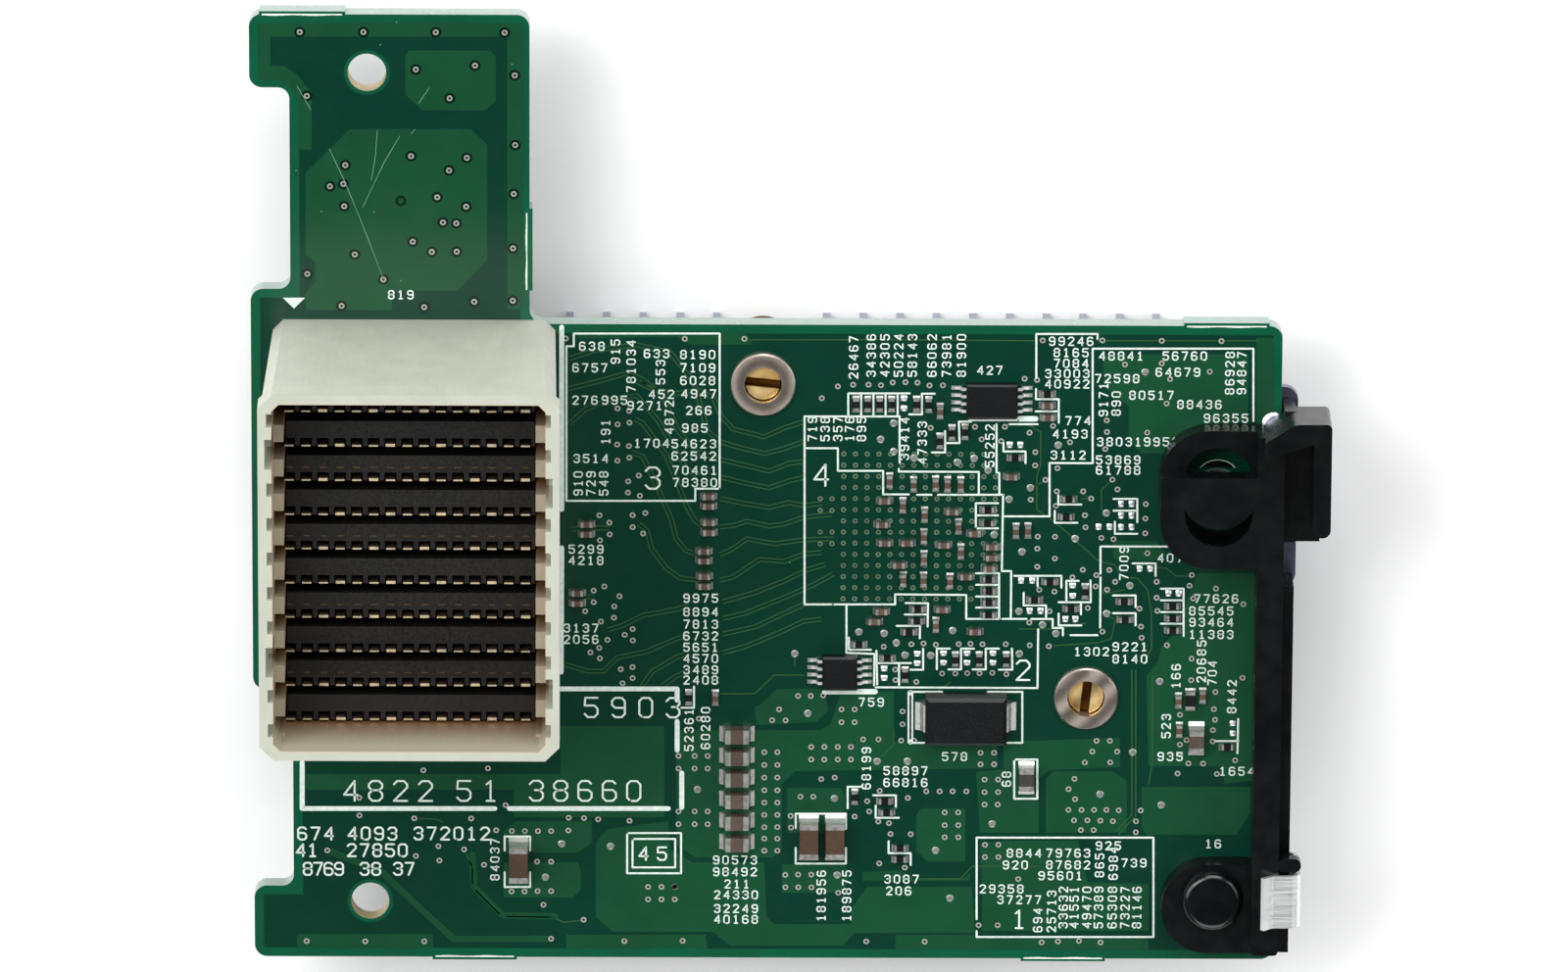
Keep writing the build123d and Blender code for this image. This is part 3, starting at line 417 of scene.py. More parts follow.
# Photo pixels: printed outlines
INK_LINES = (
    ((865.6, 425.1), (865.6, 401.6), (928.4, 401.6)),
    ((878.8, 401.6), (878.8, 425.1)), ((891.3, 401.6), (891.3, 425.1)),
    ((903.7, 401.6), (903.7, 425.1)), ((916, 401.6), (916, 425.1)),
    ((953.8, 401.9), (940.8, 401.9), (940.8, 423), (927.7, 423)),
    ((850, 616.8), (821, 616.8), (821, 425.1), (918, 425.1), (918, 472.4)),
    ((821, 457.5), (855, 457.5), (855, 480.6), (901.2, 480.6), (901.2, 504.6), (927.4, 504.6)),
    ((917.2, 478.5), (917.2, 481.3), (998.8, 481.7), (998.8, 504.6)),
    ((935.8, 505), (950.5, 505)), ((957, 505), (1024, 505)),
    ((1016.9, 433), (1016.9, 482.2), (1019.8, 482.8), (1019.8, 504.6)),
    ((1023.6, 505.3), (1022.3, 582.8), (1031.9, 582.8), (1031.5, 631.6)),
    ((1024.2, 527), (1071, 527), (1071, 472.6), (1115, 472.8), (1115, 356), (1279, 356),
     (1279, 430)),
    ((951, 461.8), (964.4, 461.8), (964.4, 440)),
    ((964.4, 452.2), (979.2, 452.2), (978.5, 430.4), (991, 430.4)),
    ((989, 429), (1039, 429)), ((1030, 433), (1058.9, 433)),
    ((1057.5, 386), (1057.5, 341), (1120, 341), (1120, 346)),
    ((1057.2, 397), (1057.2, 407.5), (1080.4, 407.5), (1080.4, 431.5)),
    ((1056.8, 419.9), (1080.4, 419.9)),
    ((1024, 452), (1024, 460.8), (1046.5, 460.8), (1046.5, 472.8)),
    ((1018.5, 513.6), (995.8, 513.6), (995.8, 539.2)), ((995.8, 526), (1018.5, 526)),
    ((995.8, 539.2), (1018.5, 539.2)),
    ((996, 585), (1019.5, 585), (1019.5, 631.6)), ((996, 596.8), (1019.5, 596.8)),
    ((996, 608.7), (1019.5, 608.7)), ((996, 620), (1019.5, 620)),
    ((850, 616.8), (913.4, 616.8), (913.4, 606.6), (986, 607.2), (986, 631.6), (1020, 631.6)),
    ((1022.8, 631.6), (1047.6, 631.6)),
    ((1052.2, 631.7), (1074.2, 631.7), (1074.2, 640.8), (1084.6, 640.8), (1084.6, 648.5)),
    ((1092.3, 648.2), (1120, 648.2)),
    ((863.8, 617.2), (863.8, 666.2), (892.3, 667.3), (892, 699.3)),
    ((866.2, 650.6), (866.2, 663), (888.8, 663)),
    ((924, 615.4), (947, 615.7), (946.6, 639.4)), ((923.3, 627.1), (945.9, 627.1)),
    ((914.9, 638.7), (938.9, 638.7), (938.6, 651.4)),
    ((894.4, 664), (895.1, 698.6)), ((894.4, 676.7), (929.7, 676.7)), ((917.4, 676.7), (917.4, 699.3)),
    ((942, 661.9), (942, 683.4), (929, 683.4)),
    ((969.2, 661.9), (956, 661.9), (956, 683)),
    ((993.9, 661.9), (980.7, 661.9), (980.7, 683.1), (967.8, 683.1)),
    ((1019.3, 661.9), (1005.9, 661.9), (1005.9, 683.1), (992.5, 683.1)),
    ((1032.6, 661.9), (1033, 683.4), (1019.3, 683.4)),
    ((1059.4, 642.2), (1058.7, 702.1), (893.7, 701.4)),
    ((961.4, 706), (929, 706), (929, 758), (943, 758)),
    ((1008, 706), (1043.2, 706), (1043.2, 758), (1028, 758)),
    ((1080, 505.4), (1080, 514.9), (1103.4, 514.9)), ((1076.3, 521.5), (1076.3, 533.6), (1099.4, 533.6)),
    ((1136.3, 509.2), (1160.5, 509.2), (1160.5, 533)), ((1136.3, 521.2), (1160.5, 521.2)),
    ((1137.7, 532.5), (1137.7, 544.8), (1160.5, 544.8)),
    ((1194.6, 557.8), (1123, 557.8), (1123, 585.4)), ((1123, 589.2), (1122.6, 640.3)),
    ((1035, 587.7), (1083.1, 587.7), (1083.1, 599.7)), ((1058.8, 587.7), (1058.8, 598.4)),
    ((1044.6, 605), (1044.6, 617.8), (1067.4, 617.8), (1067.4, 631.5)),
    ((1100.8, 592.8), (1088.2, 592.8), (1088.2, 614.6)), ((1080.3, 614.6), (1113, 614.6), (1112.8, 592.3)),
    ((1103, 614.6), (1103, 627)), ((1080.3, 626.2), (1080.3, 638.2), (1103.4, 638.2)),
    ((1155.7, 575), (1179.2, 575), (1179.2, 587.7)),
    ((1135.7, 607.7), (1158.8, 607.7), (1158.8, 619.7)),
    ((1135.7, 625.8), (1158.8, 625.8), (1158.8, 638.2)),
    ((1184.6, 600.8), (1207.8, 600.8), (1207.8, 649)), ((1184.6, 612.6), (1207.8, 612.6)),
    ((1184.6, 624.6), (1207.8, 624.6)), ((1184.6, 636.5), (1207.8, 636.5)),
    ((1263.5, 733.6), (1262.7, 768.7)), ((1239.9, 756.2), (1263.5, 756.2)),
    ((734.4, 498.8), (734.4, 340.5), (585.5, 340.5), (585.5, 353.5), (578, 353.5), (578, 511.2),
     (709.5, 511.2), (709.5, 498.8), (734.4, 498.8)),
    ((708.2, 700.6), (708.2, 722.2), (695.5, 722.2)),
    ((812, 845), (812, 830.3), (863.2, 830.3), (863.2, 846)),
    ((812, 865), (812, 881.1), (863.2, 881.1), (863.2, 865)),
    ((880.3, 802.8), (865, 802.8), (865, 824.7)),
    ((891, 811.5), (914.2, 811.5), (914.2, 823.4)), ((893.6, 822), (893.6, 834.4), (917.2, 834.4)),
    ((906.8, 858.3), (906.8, 870.5), (929.3, 870.5), (929.3, 882.6)),
    ((1035, 775), (1058.5, 775), (1058.5, 815), (1035, 815), (1035, 775)),
    ((515, 868), (515, 853.5), (541, 853.5), (541, 868)), ((515, 890), (515, 905), (541, 905), (541, 890)),
    ((996.6, 938), (996.6, 854.7), (1177, 854.7), (1177, 956), (996.6, 956), (996.6, 950)),
    ((640, 850), (695, 850), (695, 891), (640, 891), (640, 850)),
    ((645.5, 856), (689, 856), (689, 885), (645.5, 885), (645.5, 856)),
)
WIDE_INK_LINES = (
    ((570.6, 703), (691, 703), (691, 714.7)), ((691, 736), (691, 765.7)), ((695.7, 788.6), (695.7, 824)),
    ((308.4, 778), (308.4, 825), (505, 825)), ((519.6, 825), (682, 825)),
    ((573.2, 334), (573.2, 520)), ((573.2, 559), (572.6, 686)),
)
BROAD_INK_BARS = (
    ((1040, 427.5), (1057, 427.5)), ((841.6, 705.8), (893, 705.8)), ((929, 707), (929, 757)),
)
FIRST_CONTACT_MARK = ((288.5, 304), (311.3, 304), (300, 315))

# Photo pixels of printed numbers and how many digits each has
NUMBERS_ACROSS = (
    (409, 301, 3), (604, 353.5, 3), (602, 375.5, 4), (597, 408.5, 3), (627, 408.5, 3),
    (603, 468, 4), (670, 361, 3), (675, 402.5, 3), (658, 414, 4), (712, 362, 4), (712, 375.5, 4),
    (712, 388.5, 4), (713, 402, 4), (713, 419, 3), (709, 437, 3), (665, 452.5, 4),
    (708, 453, 5), (708, 465.5, 5), (709, 480, 5), (709, 492.5, 5), (598, 560.5, 4),
    (598, 572, 4), (593, 641, 4), (593, 652.5, 4), (715, 610.5, 4), (715, 624.5, 4),
    (715, 637, 4), (715, 649, 4), (715, 660.5, 4), (715, 672, 4), (715, 683.5, 4),
    (715, 694, 4), (1010, 378, 3), (1093, 348.5, 5), (1093, 360, 4), (1093, 371, 4),
    (1089, 381.5, 5), (1089, 392, 5), (1144, 363.5, 5), (1209, 363.5, 5), (1202, 380, 5),
    (1140, 386.5, 5), (1175, 403.5, 5), (1224, 413, 5), (1251, 427, 5), (1100, 429.5, 3),
    (1092, 443, 4), (1090, 464.5, 4), (1142, 451, 5), (1185, 451, 4), (1141, 469.5, 5),
    (1141, 480, 5), (1194, 569.5, 3), (1241, 611, 5), (1236, 623.5, 5), (1236, 635, 5),
    (1236, 647.5, 5), (1114, 665, 4), (1153, 660, 4), (1153, 672.5, 4), (889, 716.5, 3),
    (974, 772, 3), (924, 786.5, 5), (924, 798.5, 5), (1194, 772, 3), (1262, 787, 4),
    (750, 877.5, 5), (750, 889.5, 5), (752, 902, 3), (751, 913, 5), (751, 927, 5),
    (751, 938, 5), (920, 897, 4), (917, 909, 3), (1131, 863, 3), (1045, 870.5, 4),
    (1090, 870.5, 5), (1090, 882.5, 5), (1082, 893.5, 5), (1036, 882.5, 3), (1157, 880.5, 3),
    (1022, 907, 5), (1040, 918, 5), (1238, 861, 2),
)
NUMBERS_UPRIGHT = (
    (628, 359, 3), (644, 374, 6), (674, 380, 3), (683, 426, 4), (618, 441, 3), (590, 493.5, 3),
    (603, 493.5, 3), (616, 493.5, 3), (871, 365, 5), (889, 363, 5), (903, 363, 5),
    (917, 363, 5), (931, 363, 5), (951, 363, 5), (966, 363, 5), (981, 363, 5), (829, 438, 3),
    (842, 438, 3), (855, 438, 3), (867, 438, 3), (879, 438, 3), (923, 448, 5), (941, 452, 5),
    (1010, 455, 5), (1126, 408, 4), (1139, 412, 3), (1147, 575, 4), (1255, 381, 5),
    (1267, 381, 5), (1200, 690, 3), (1226, 675, 5), (1237, 687, 3), (1190, 741, 3),
    (1257, 711, 4), (703, 745, 5), (720, 743, 5), (884, 784, 5), (1027, 795, 2), (505, 877, 5),
    (838, 914, 6), (864, 914, 6), (1059, 939, 3), (1073, 930, 5), (1085, 926, 5),
    (1096, 926, 5), (1109, 926, 5), (1121, 926, 5), (1135, 926, 5), (1148, 926, 5),
    (1160, 926, 5), (1122, 883, 3), (1136, 881, 4),
)
# Larger printed numbers: pixel place, digits, height and spacing in millimetres
LARGE_NUMBERS = (
    (645, 722, 4, 1.75, 2.35), (396, 807, 4, 1.8, 2.15), (487, 807, 2, 1.8, 2.3),
    (597, 807, 5, 1.8, 2.1), (838, 485, 1, 1.9, 2.0), (666, 488, 1, 1.9, 2.0),
    (1044, 684, 1, 1.75, 2.0), (1040, 938, 1, 1.6, 2.0), (666, 871, 2, 1.15, 1.6),
)
PLANT_NUMBERS = (
    (322, 850.5, 3, 1.1, 1.15), (380, 850.5, 4, 1.1, 1.15), (461, 850.5, 6, 1.1, 1.15),
    (313, 867.5, 2, 1.1, 1.05), (385, 867.5, 5, 1.1, 1.1), (330, 886.5, 4, 1.1, 0.9),
    (378, 886.5, 2, 1.1, 1.0), (412, 886.5, 2, 1.1, 1.0),
)

# Strokes of the printed digits, on a grid four wide and six high
DIGITS = (
    (((1, 0), (3, 0), (4, 1), (4, 5), (3, 6), (1, 6), (0, 5), (0, 1), (1, 0)),),
    (((0.8, 5), (2, 6), (2, 0)), ((0.8, 0), (3.2, 0))),
    (((0, 5), (1, 6), (3, 6), (4, 5), (4, 4), (0, 0), (4, 0)),),
    (((0, 5), (1, 6), (3, 6), (4, 5), (4, 4), (3, 3.2), (1.6, 3.2)),
     ((3, 3.2), (4, 2.2), (4, 1), (3, 0), (1, 0), (0, 1))),
    (((3.2, 0), (3.2, 6), (0, 1.8), (4, 1.8)),),
    (((4, 6), (0.2, 6), (0, 3.6), (3, 3.6), (4, 2.6), (4, 1), (3, 0), (1, 0), (0, 1)),),
    (((3.8, 5.2), (3, 6), (1, 6), (0, 5), (0, 1), (1, 0), (3, 0), (4, 1), (4, 2.4), (3, 3.3), (0, 3.3)),),
    (((0, 6), (4, 6), (1.5, 0)),),
    (((1, 3.2), (3, 3.2), (4, 4), (4, 5), (3, 6), (1, 6), (0, 5), (0, 4), (1, 3.2), (0, 2.2), (0, 1), (1, 0),
      (3, 0), (4, 1), (4, 2.2), (3, 3.2)),),
    (((0.2, 0.8), (1, 0), (3, 0), (4, 1), (4, 5), (3, 6), (1, 6), (0, 5), (0, 3.8), (1, 2.9), (4, 2.9)),),
)

# Photo pixels of the torn stubs, and the edge that each is on
STUB_LENGTH = 7.3
STUBS = (
    (308.0, 14.6, "upper"), (1252.0, 333.0, "upper"), (538.2, 257.0, "right"),
    (484.5, 976.6, "lower"), (1084.5, 978.6, "lower"),
)

# Photo pixels of scratches in the tab's mask
SCRATCHES = (
    ((336, 152), (352, 186), (371, 232), (391, 284)),
    ((385, 134), (383, 160), (379, 184)),
    ((408, 139), (392, 166), (370, 212)),
    ((303, 88), (317, 112)), ((427, 106), (438, 90)), ((419, 137), (424, 132)),
)

# Photo pixels of bright specks in the mask, and of one ring buried under it
SPECKS = (
    (404.5, 23), (388, 46), (522.5, 66), (302, 174), (381.7, 216.6), (328, 216), (409, 286.7), (806, 574),
)
BURIED_RING = (409, 205.3)

# Photo pixels: three small black dashes beside the connector, and the rivet that shows beside the hook
BLACK_DASHES = ((571.5, 527), (571.5, 540), (571.5, 553))
SIDE_RIVET = (1299, 432)

# Photo pixels: the pale arc in the bracket's opening, which also bounds a flat black sheet of painted shade
# inside it
OPENING_ARC = (
    (1225, 477), (1229, 473.5), (1235, 470.5), (1244, 469.3), (1252, 471), (1257, 474), (1260, 477),
)


def linear(colour):
    """Turn an sRGB hex colour into linear red, green, blue and alpha."""
    values = []
    for start in (1, 3, 5):
        share = int(colour[start:start + 2], 16) / 255
        values.append(share / 12.92 if share <= 0.04045 else ((share + 0.055) / 1.055) ** 2.4)
    return (*values, 1.0)


def darker(colour, share=0.88):
    """Darken a linear colour by a share."""
    return (*(value * share for value in colour[:3]), 1.0)


def photo_map():
    """Work out the projective map from photo pixels to the board's front, in millimetres."""
    corners = ((0, BOARD_WIDTH), (BOARD_LENGTH, MAIN_WIDTH), (BOARD_LENGTH, 0), (0, 0))
    lines = []
    values = []
    for (across, down), (x, y) in zip(CORNER_PIXELS, corners):
        lines.append([across, down, 1, 0, 0, 0, -across * x, -down * x])
        lines.append([0, 0, 0, across, down, 1, -across * y, -down * y])
        values.extend([x, y])
    return [float(value) for value in numpy.linalg.solve(numpy.array(lines), numpy.array(values))]


BOARD_MAP = photo_map()


def spot(across, down):
    """Give the place on the board, in millimetres, of a photo pixel."""
    a, b, c, d, e, f, g, h = BOARD_MAP
    share = g * across + h * down + 1
    return (a * across + b * down + c) / share, (d * across + e * down + f) / share


def course(pixels):
    """Give the board places of a list of photo pixels."""
    return [spot(*pixel) for pixel in pixels]


def world(x, y, level, rear=False):
    """Turn board millimetres and a height off the board's face into the frame's metres."""
    height = REAR - level * MM if rear else FRONT + level * MM
    return LEFT + x * MM, BOTTOM + y * MM, height


def circle_points(x, y, radius, sides=40):
    """Give the points round a circle."""
    turn = 2 * math.pi / sides
    return [
        (x + radius * math.cos(turn * step), y + radius * math.sin(turn * step)) for step in range(sides)
    ]


class Sheet:
    """Gathers the faces of one piece, in board millimetres."""

    def __init__(self, rear=False):
        self.places = []
        self.faces = []
        self.rear = rear

    def add(self, order):
        """Add a face by its point numbers, turned over on the rear."""
        self.faces.append(order[::-1] if self.rear else order)

    def face(self, points, level):
        """Add one flat face whose points run anticlockwise."""
        start = len(self.places)
        self.places.extend(world(x, y, level, self.rear) for x, y in points)
        self.add(list(range(start, start + len(points))))

    def disc(self, x, y, radius, level, sides=16):
        """Add a flat disc."""
        self.face(circle_points(x, y, radius, sides), level)

    def ring(self, x, y, inner, outer, level, sides=16):
        """Add a flat ring."""
        near = circle_points(x, y, inner, sides)
        far = circle_points(x, y, outer, sides)
        for step in range(sides):
            after = (step + 1) % sides
            self.face([near[step], far[step], far[after], near[after]], level)

    def stroke(self, points, width, level):
        """Add a stroke of even width along a course, with round ends and joints."""
        half = width / 2
        for (x, y), (next_x, next_y) in zip(points, points[1:]):
            length = math.hypot(next_x - x, next_y - y)
            if length == 0:
                continue
            side_x, side_y = -(next_y - y) / length * half, (next_x - x) / length * half
            self.face([
                (x - side_x, y - side_y), (next_x - side_x, next_y - side_y),
                (next_x + side_x, next_y + side_y), (x + side_x, y + side_y),
            ], level)
        for x, y in points:
            self.disc(x, y, half, level + JOINT_RISE, 8)

    def dome(self, x, y, radius, rise, level, sides=14):
        """Add a low dome."""
        rings = []
        for radius_share, rise_share in ((1.0, 0.0), (0.85, 0.55), (0.5, 0.9)):
            rings.append(len(self.places))
            points = circle_points(x, y, radius * radius_share, sides)
            self.places.extend(world(*point, level + rise * rise_share, self.rear) for point in points)
        top = len(self.places)
        self.places.append(world(x, y, level + rise, self.rear))
        for low, high in zip(rings, rings[1:]):
            for step in range(sides):
                after = (step + 1) % sides
                self.add([low + step, low + after, high + after, high + step])
        for step in range(sides):
            self.add([rings[-1] + step, rings[-1] + (step + 1) % sides, top])

    def block(self, low, high, taper=0.0):
        """Add an upright block whose top may be drawn in."""
        start = len(self.places)
        for level, pull in ((low[2], 0.0), (high[2], taper)):
            for x, y in (
                (low[0] + pull, low[1] + pull), (high[0] - pull, low[1] + pull),
                (high[0] - pull, high[1] - pull), (low[0] + pull, high[1] - pull),
            ):
                self.places.append(world(x, y, level, self.rear))
        self.add([start + 4, start + 5, start + 6, start + 7])
        for step in range(4):
            after = (step + 1) % 4
            self.add([start + step, start + after, start + 4 + after, start + 4 + step])


def place_piece(name, mesh, material):
    """Put a mesh in the scene as one object, dressed and riding on the card."""
    mesh.materials.append(material)
    piece = bpy.data.objects.new(name, mesh)
    bpy.context.scene.collection.objects.link(piece)
    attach(piece, "root")


def make_piece(name, sheet, material, smooth=False):
    """Make one piece from gathered faces."""
    mesh = bpy.data.meshes.new(name)
    mesh.from_pydata(sheet.places, [], sheet.faces)
    mesh.validate()
    if smooth:
        mesh.polygons.foreach_set("use_smooth", [True] * len(mesh.polygons))
    place_piece(name, mesh, material)


def fill_outline(name, outline, holes, level, material, rear=False):
    """Make one flat piece that fills an outline with holes in it."""
    shape = bmesh.new()
    for loop in [outline, *holes]:
        points = [shape.verts.new(world(x, y, level, rear)) for x, y in loop]
        for first, second in zip(points, points[1:] + points[:1]):
            shape.edges.new((first, second))
    bmesh.ops.triangle_fill(shape, use_beauty=True, edges=shape.edges[:])
    outward = -1.0 if rear else 1.0
    for face in shape.faces:
        face.normal_update()
        if face.normal.z * outward < 0:
            face.normal_flip()
    mesh = bpy.data.meshes.new(name)
    shape.to_mesh(mesh)
    shape.free()
    place_piece(name, mesh, material)


def islands(node):
    """Give the box of each separate solid in a frame node, in board millimetres and off the front."""
    mesh = frame["nodes"][node].data
    groups = {}
    owner = list(range(len(mesh.vertices)))

    def root(item):
        while owner[item] != item:
            owner[item] = owner[owner[item]]
            item = owner[item]
        return item

    for vertex in mesh.vertices:
        key = tuple(round(value * POINT_STEPS) for value in vertex.co)
        if key in groups:
            owner[root(vertex.index)] = root(groups[key])
        else:
            groups[key] = vertex.index
    for edge in mesh.edges:
        owner[root(edge.vertices[0])] = root(edge.vertices[1])
    boxes = {}
    for vertex in mesh.vertices:
        place = [(value - start) / MM for value, start in zip(vertex.co, (LEFT, BOTTOM, FRONT))]
        low, high = boxes.setdefault(root(vertex.index), (list(place), list(place)))
        for axis in range(3):
            low[axis] = min(low[axis], place[axis])
            high[axis] = max(high[axis], place[axis])
    return list(boxes.values())


def centre(box):
    """Give the middle of a box, in plan."""
    return (box[0][0] + box[1][0]) / 2, (box[0][1] + box[1][1]) / 2


def add_node(tree, kind, inputs=None, **settings):
    """Add one shader node with its settings; an input is a value or another node's output."""
    node = tree.nodes.new(kind)
    for name, value in settings.items():
        setattr(node, name, value)
    for name, value in (inputs or {}).items():
        socket = node.inputs[name]
        if isinstance(value, bpy.types.NodeSocket):
            tree.links.new(value, socket)
        else:
            socket.default_value = value
    return node


def start_material(name):
    """Start a material, and give it with its nodes and its object coordinates."""
    material = bpy.data.materials.new(name)
    material.use_nodes = True
    tree = material.node_tree
    tree.nodes.clear()
    return material, tree, add_node(tree, "ShaderNodeTexCoord").outputs["Object"]


def finish_material(tree, surface):
    """Close a material with the inputs of its surface."""
    shader = add_node(tree, "ShaderNodeBsdfPrincipled", surface)
    add_node(tree, "ShaderNodeOutputMaterial", {"Surface": shader.outputs["BSDF"]})


def per_metre(pattern):
    """Give the texture scale whose pattern repeats every so many millimetres."""
    return 1.0 / (pattern * MM)


def cloud_factor(tree, place, pattern, detail=4.0, stretch=(1.0, 1.0, 1.0)):
    """Give a cloudy factor from 0 to 1, its pattern a real size in millimetres."""
    mapping = add_node(tree, "ShaderNodeMapping", {"Vector": place, "Scale": stretch})
    cloud = add_node(tree, "ShaderNodeTexNoise", {
        "Vector": mapping.outputs["Vector"], "Scale": per_metre(pattern), "Detail": detail,
    })
    ramp = add_node(tree, "ShaderNodeMapRange", {
        "Value": cloud.outputs["Fac"], "From Min": 0.35, "From Max": 0.65,
    })
    return ramp.outputs["Result"]


def solder_mask(name, colour):
    """Photo-imaged epoxy solder mask, cured glossy: an even deep green with a soft sheen."""
    material, tree, place = start_material(name)
    cloud = cloud_factor(tree, place, 6.0)
    tone = add_node(tree, "ShaderNodeMix", {0: cloud, 6: colour, 7: darker(colour)}, data_type="RGBA")
    flow = cloud_factor(tree, place, 2.5, detail=1.0)
    rough = add_node(tree, "ShaderNodeMapRange", {"Value": flow, "To Min": 0.2, "To Max": 0.25})
    relief = add_node(tree, "ShaderNodeBump", {"Height": flow, "Distance": 0.003 * MM, "Strength": 0.1})
    finish_material(tree, {
        "Base Color": tone.outputs[2], "IOR": 1.5, "Roughness": rough.outputs["Result"],
        "Normal": relief.outputs["Normal"],
    })
    return material


def board_laminate():
    """Glass-epoxy laminate, routed to shape: masked green faces and pale, dry, fibrous edges."""
    material, tree, place = start_material("glass_epoxy_laminate")
    cloud = cloud_factor(tree, place, 5.0)
    green, deep_green = linear("#015036"), linear("#01482F")
    face = add_node(tree, "ShaderNodeMix", {0: cloud, 6: green, 7: deep_green}, data_type="RGBA")
    fibre = cloud_factor(tree, place, 0.5, stretch=(1.0, 1.0, 6.0))
    resin, glass = linear("#90A39B"), linear("#9DAFA7")
    edge = add_node(tree, "ShaderNodeMix", {0: fibre, 6: resin, 7: glass}, data_type="RGBA")
    geometry = add_node(tree, "ShaderNodeNewGeometry")
    normal = add_node(tree, "ShaderNodeSeparateXYZ", {"Vector": geometry.outputs["Normal"]})
    upright = add_node(tree, "ShaderNodeMath", {0: normal.outputs["Z"]}, operation="ABSOLUTE")
    flat = add_node(tree, "ShaderNodeMath", {0: upright.outputs["Value"], 1: 0.7}, operation="GREATER_THAN")
    tone = add_node(
        tree, "ShaderNodeMix", {0: flat.outputs["Value"], 6: edge.outputs[2], 7: face.outputs[2]},
        data_type="RGBA",
    )
    rough = add_node(tree, "ShaderNodeMapRange", {"Value": cloud, "To Min": 0.24, "To Max": 0.28})
    finish_material(tree, {
        "Base Color": tone.outputs[2], "IOR": 1.5, "Roughness": rough.outputs["Result"],
    })
    return material


def metal(name, colour, shade, rough, grain=0.4, stretch=(1.0, 1.0, 1.0), depth=0.01):
    """Metal with the fine grain left by drawing, rolling or plating, which breaks its highlights up."""
    material, tree, place = start_material(name)
    cloud = cloud_factor(tree, place, grain, stretch=stretch)
    tone = add_node(
        tree, "ShaderNodeMix", {0: cloud, 6: linear(colour), 7: linear(shade)}, data_type="RGBA",
    )
    spread = add_node(tree, "ShaderNodeMapRange", {
        "Value": cloud, "To Min": rough * 0.8, "To Max": rough * 1.25,
    })
    relief = add_node(tree, "ShaderNodeBump", {"Height": cloud, "Distance": depth * MM, "Strength": 0.4})
    finish_material(tree, {
        "Base Color": tone.outputs[2], "Metallic": 1.0, "Roughness": spread.outputs["Result"],
        "Normal": relief.outputs["Normal"],
    })
    return material


def moulded(name, colour, shade, rough, grain=0.25, depth=0.01):
    """Moulded or fired non-metal: a faint mottle and a fine texture that softens its highlights."""
    material, tree, place = start_material(name)
    cloud = cloud_factor(tree, place, grain)
    mottle = cloud_factor(tree, place, grain * 12)
    tone = add_node(
        tree, "ShaderNodeMix", {0: mottle, 6: linear(colour), 7: linear(shade)}, data_type="RGBA",
    )
    spread = add_node(tree, "ShaderNodeMapRange", {
        "Value": cloud, "To Min": rough * 0.85, "To Max": rough * 1.15,
    })
    surface = {"Base Color": tone.outputs[2], "IOR": 1.5, "Roughness": spread.outputs["Result"]}
    if depth:
        relief = add_node(tree, "ShaderNodeBump", {
            "Height": cloud, "Distance": depth * MM, "Strength": 0.3,
        })
        surface["Normal"] = relief.outputs["Normal"]
    finish_material(tree, surface)
    return material


def mouth_factor(tree, place):
    """Give 1 inside the connector's mouth and 0 outside it, from the housing's box."""
    low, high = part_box("connector_housing")
    parts = add_node(tree, "ShaderNodeSeparateXYZ", {"Vector": place})
    offsets = []
    tests = []
    for axis, name in ((0, "X"), (1, "Y")):
        middle = (low[axis] + high[axis]) / 2
        reach = (high[axis] - low[axis]) / 2 - MOUTH_WALLS[axis] * MM
        offset = add_node(tree, "ShaderNodeMath", {0: parts.outputs[name], 1: middle}, operation="SUBTRACT")
        away = add_node(tree, "ShaderNodeMath", {0: offset.outputs["Value"]}, operation="ABSOLUTE")
        offsets.append(away.outputs["Value"])
        tests.append((away.outputs["Value"], reach))
    span = add_node(tree, "ShaderNodeMath", {0: offsets[0], 1: offsets[1]}, operation="ADD")
    corner = ((high[0] - low[0]) + (high[1] - low[1])) / 2 - MOUTH_CORNER * MM
    tests.append((span.outputs["Value"], corner))
    factor = 1.0
    for value, limit in tests:
        test = add_node(tree, "ShaderNodeMath", {0: value, 1: limit}, operation="LESS_THAN")
        both = add_node(tree, "ShaderNodeMath", {0: test.outputs["Value"], 1: factor}, operation="MULTIPLY")
        factor = both.outputs["Value"]
    return factor


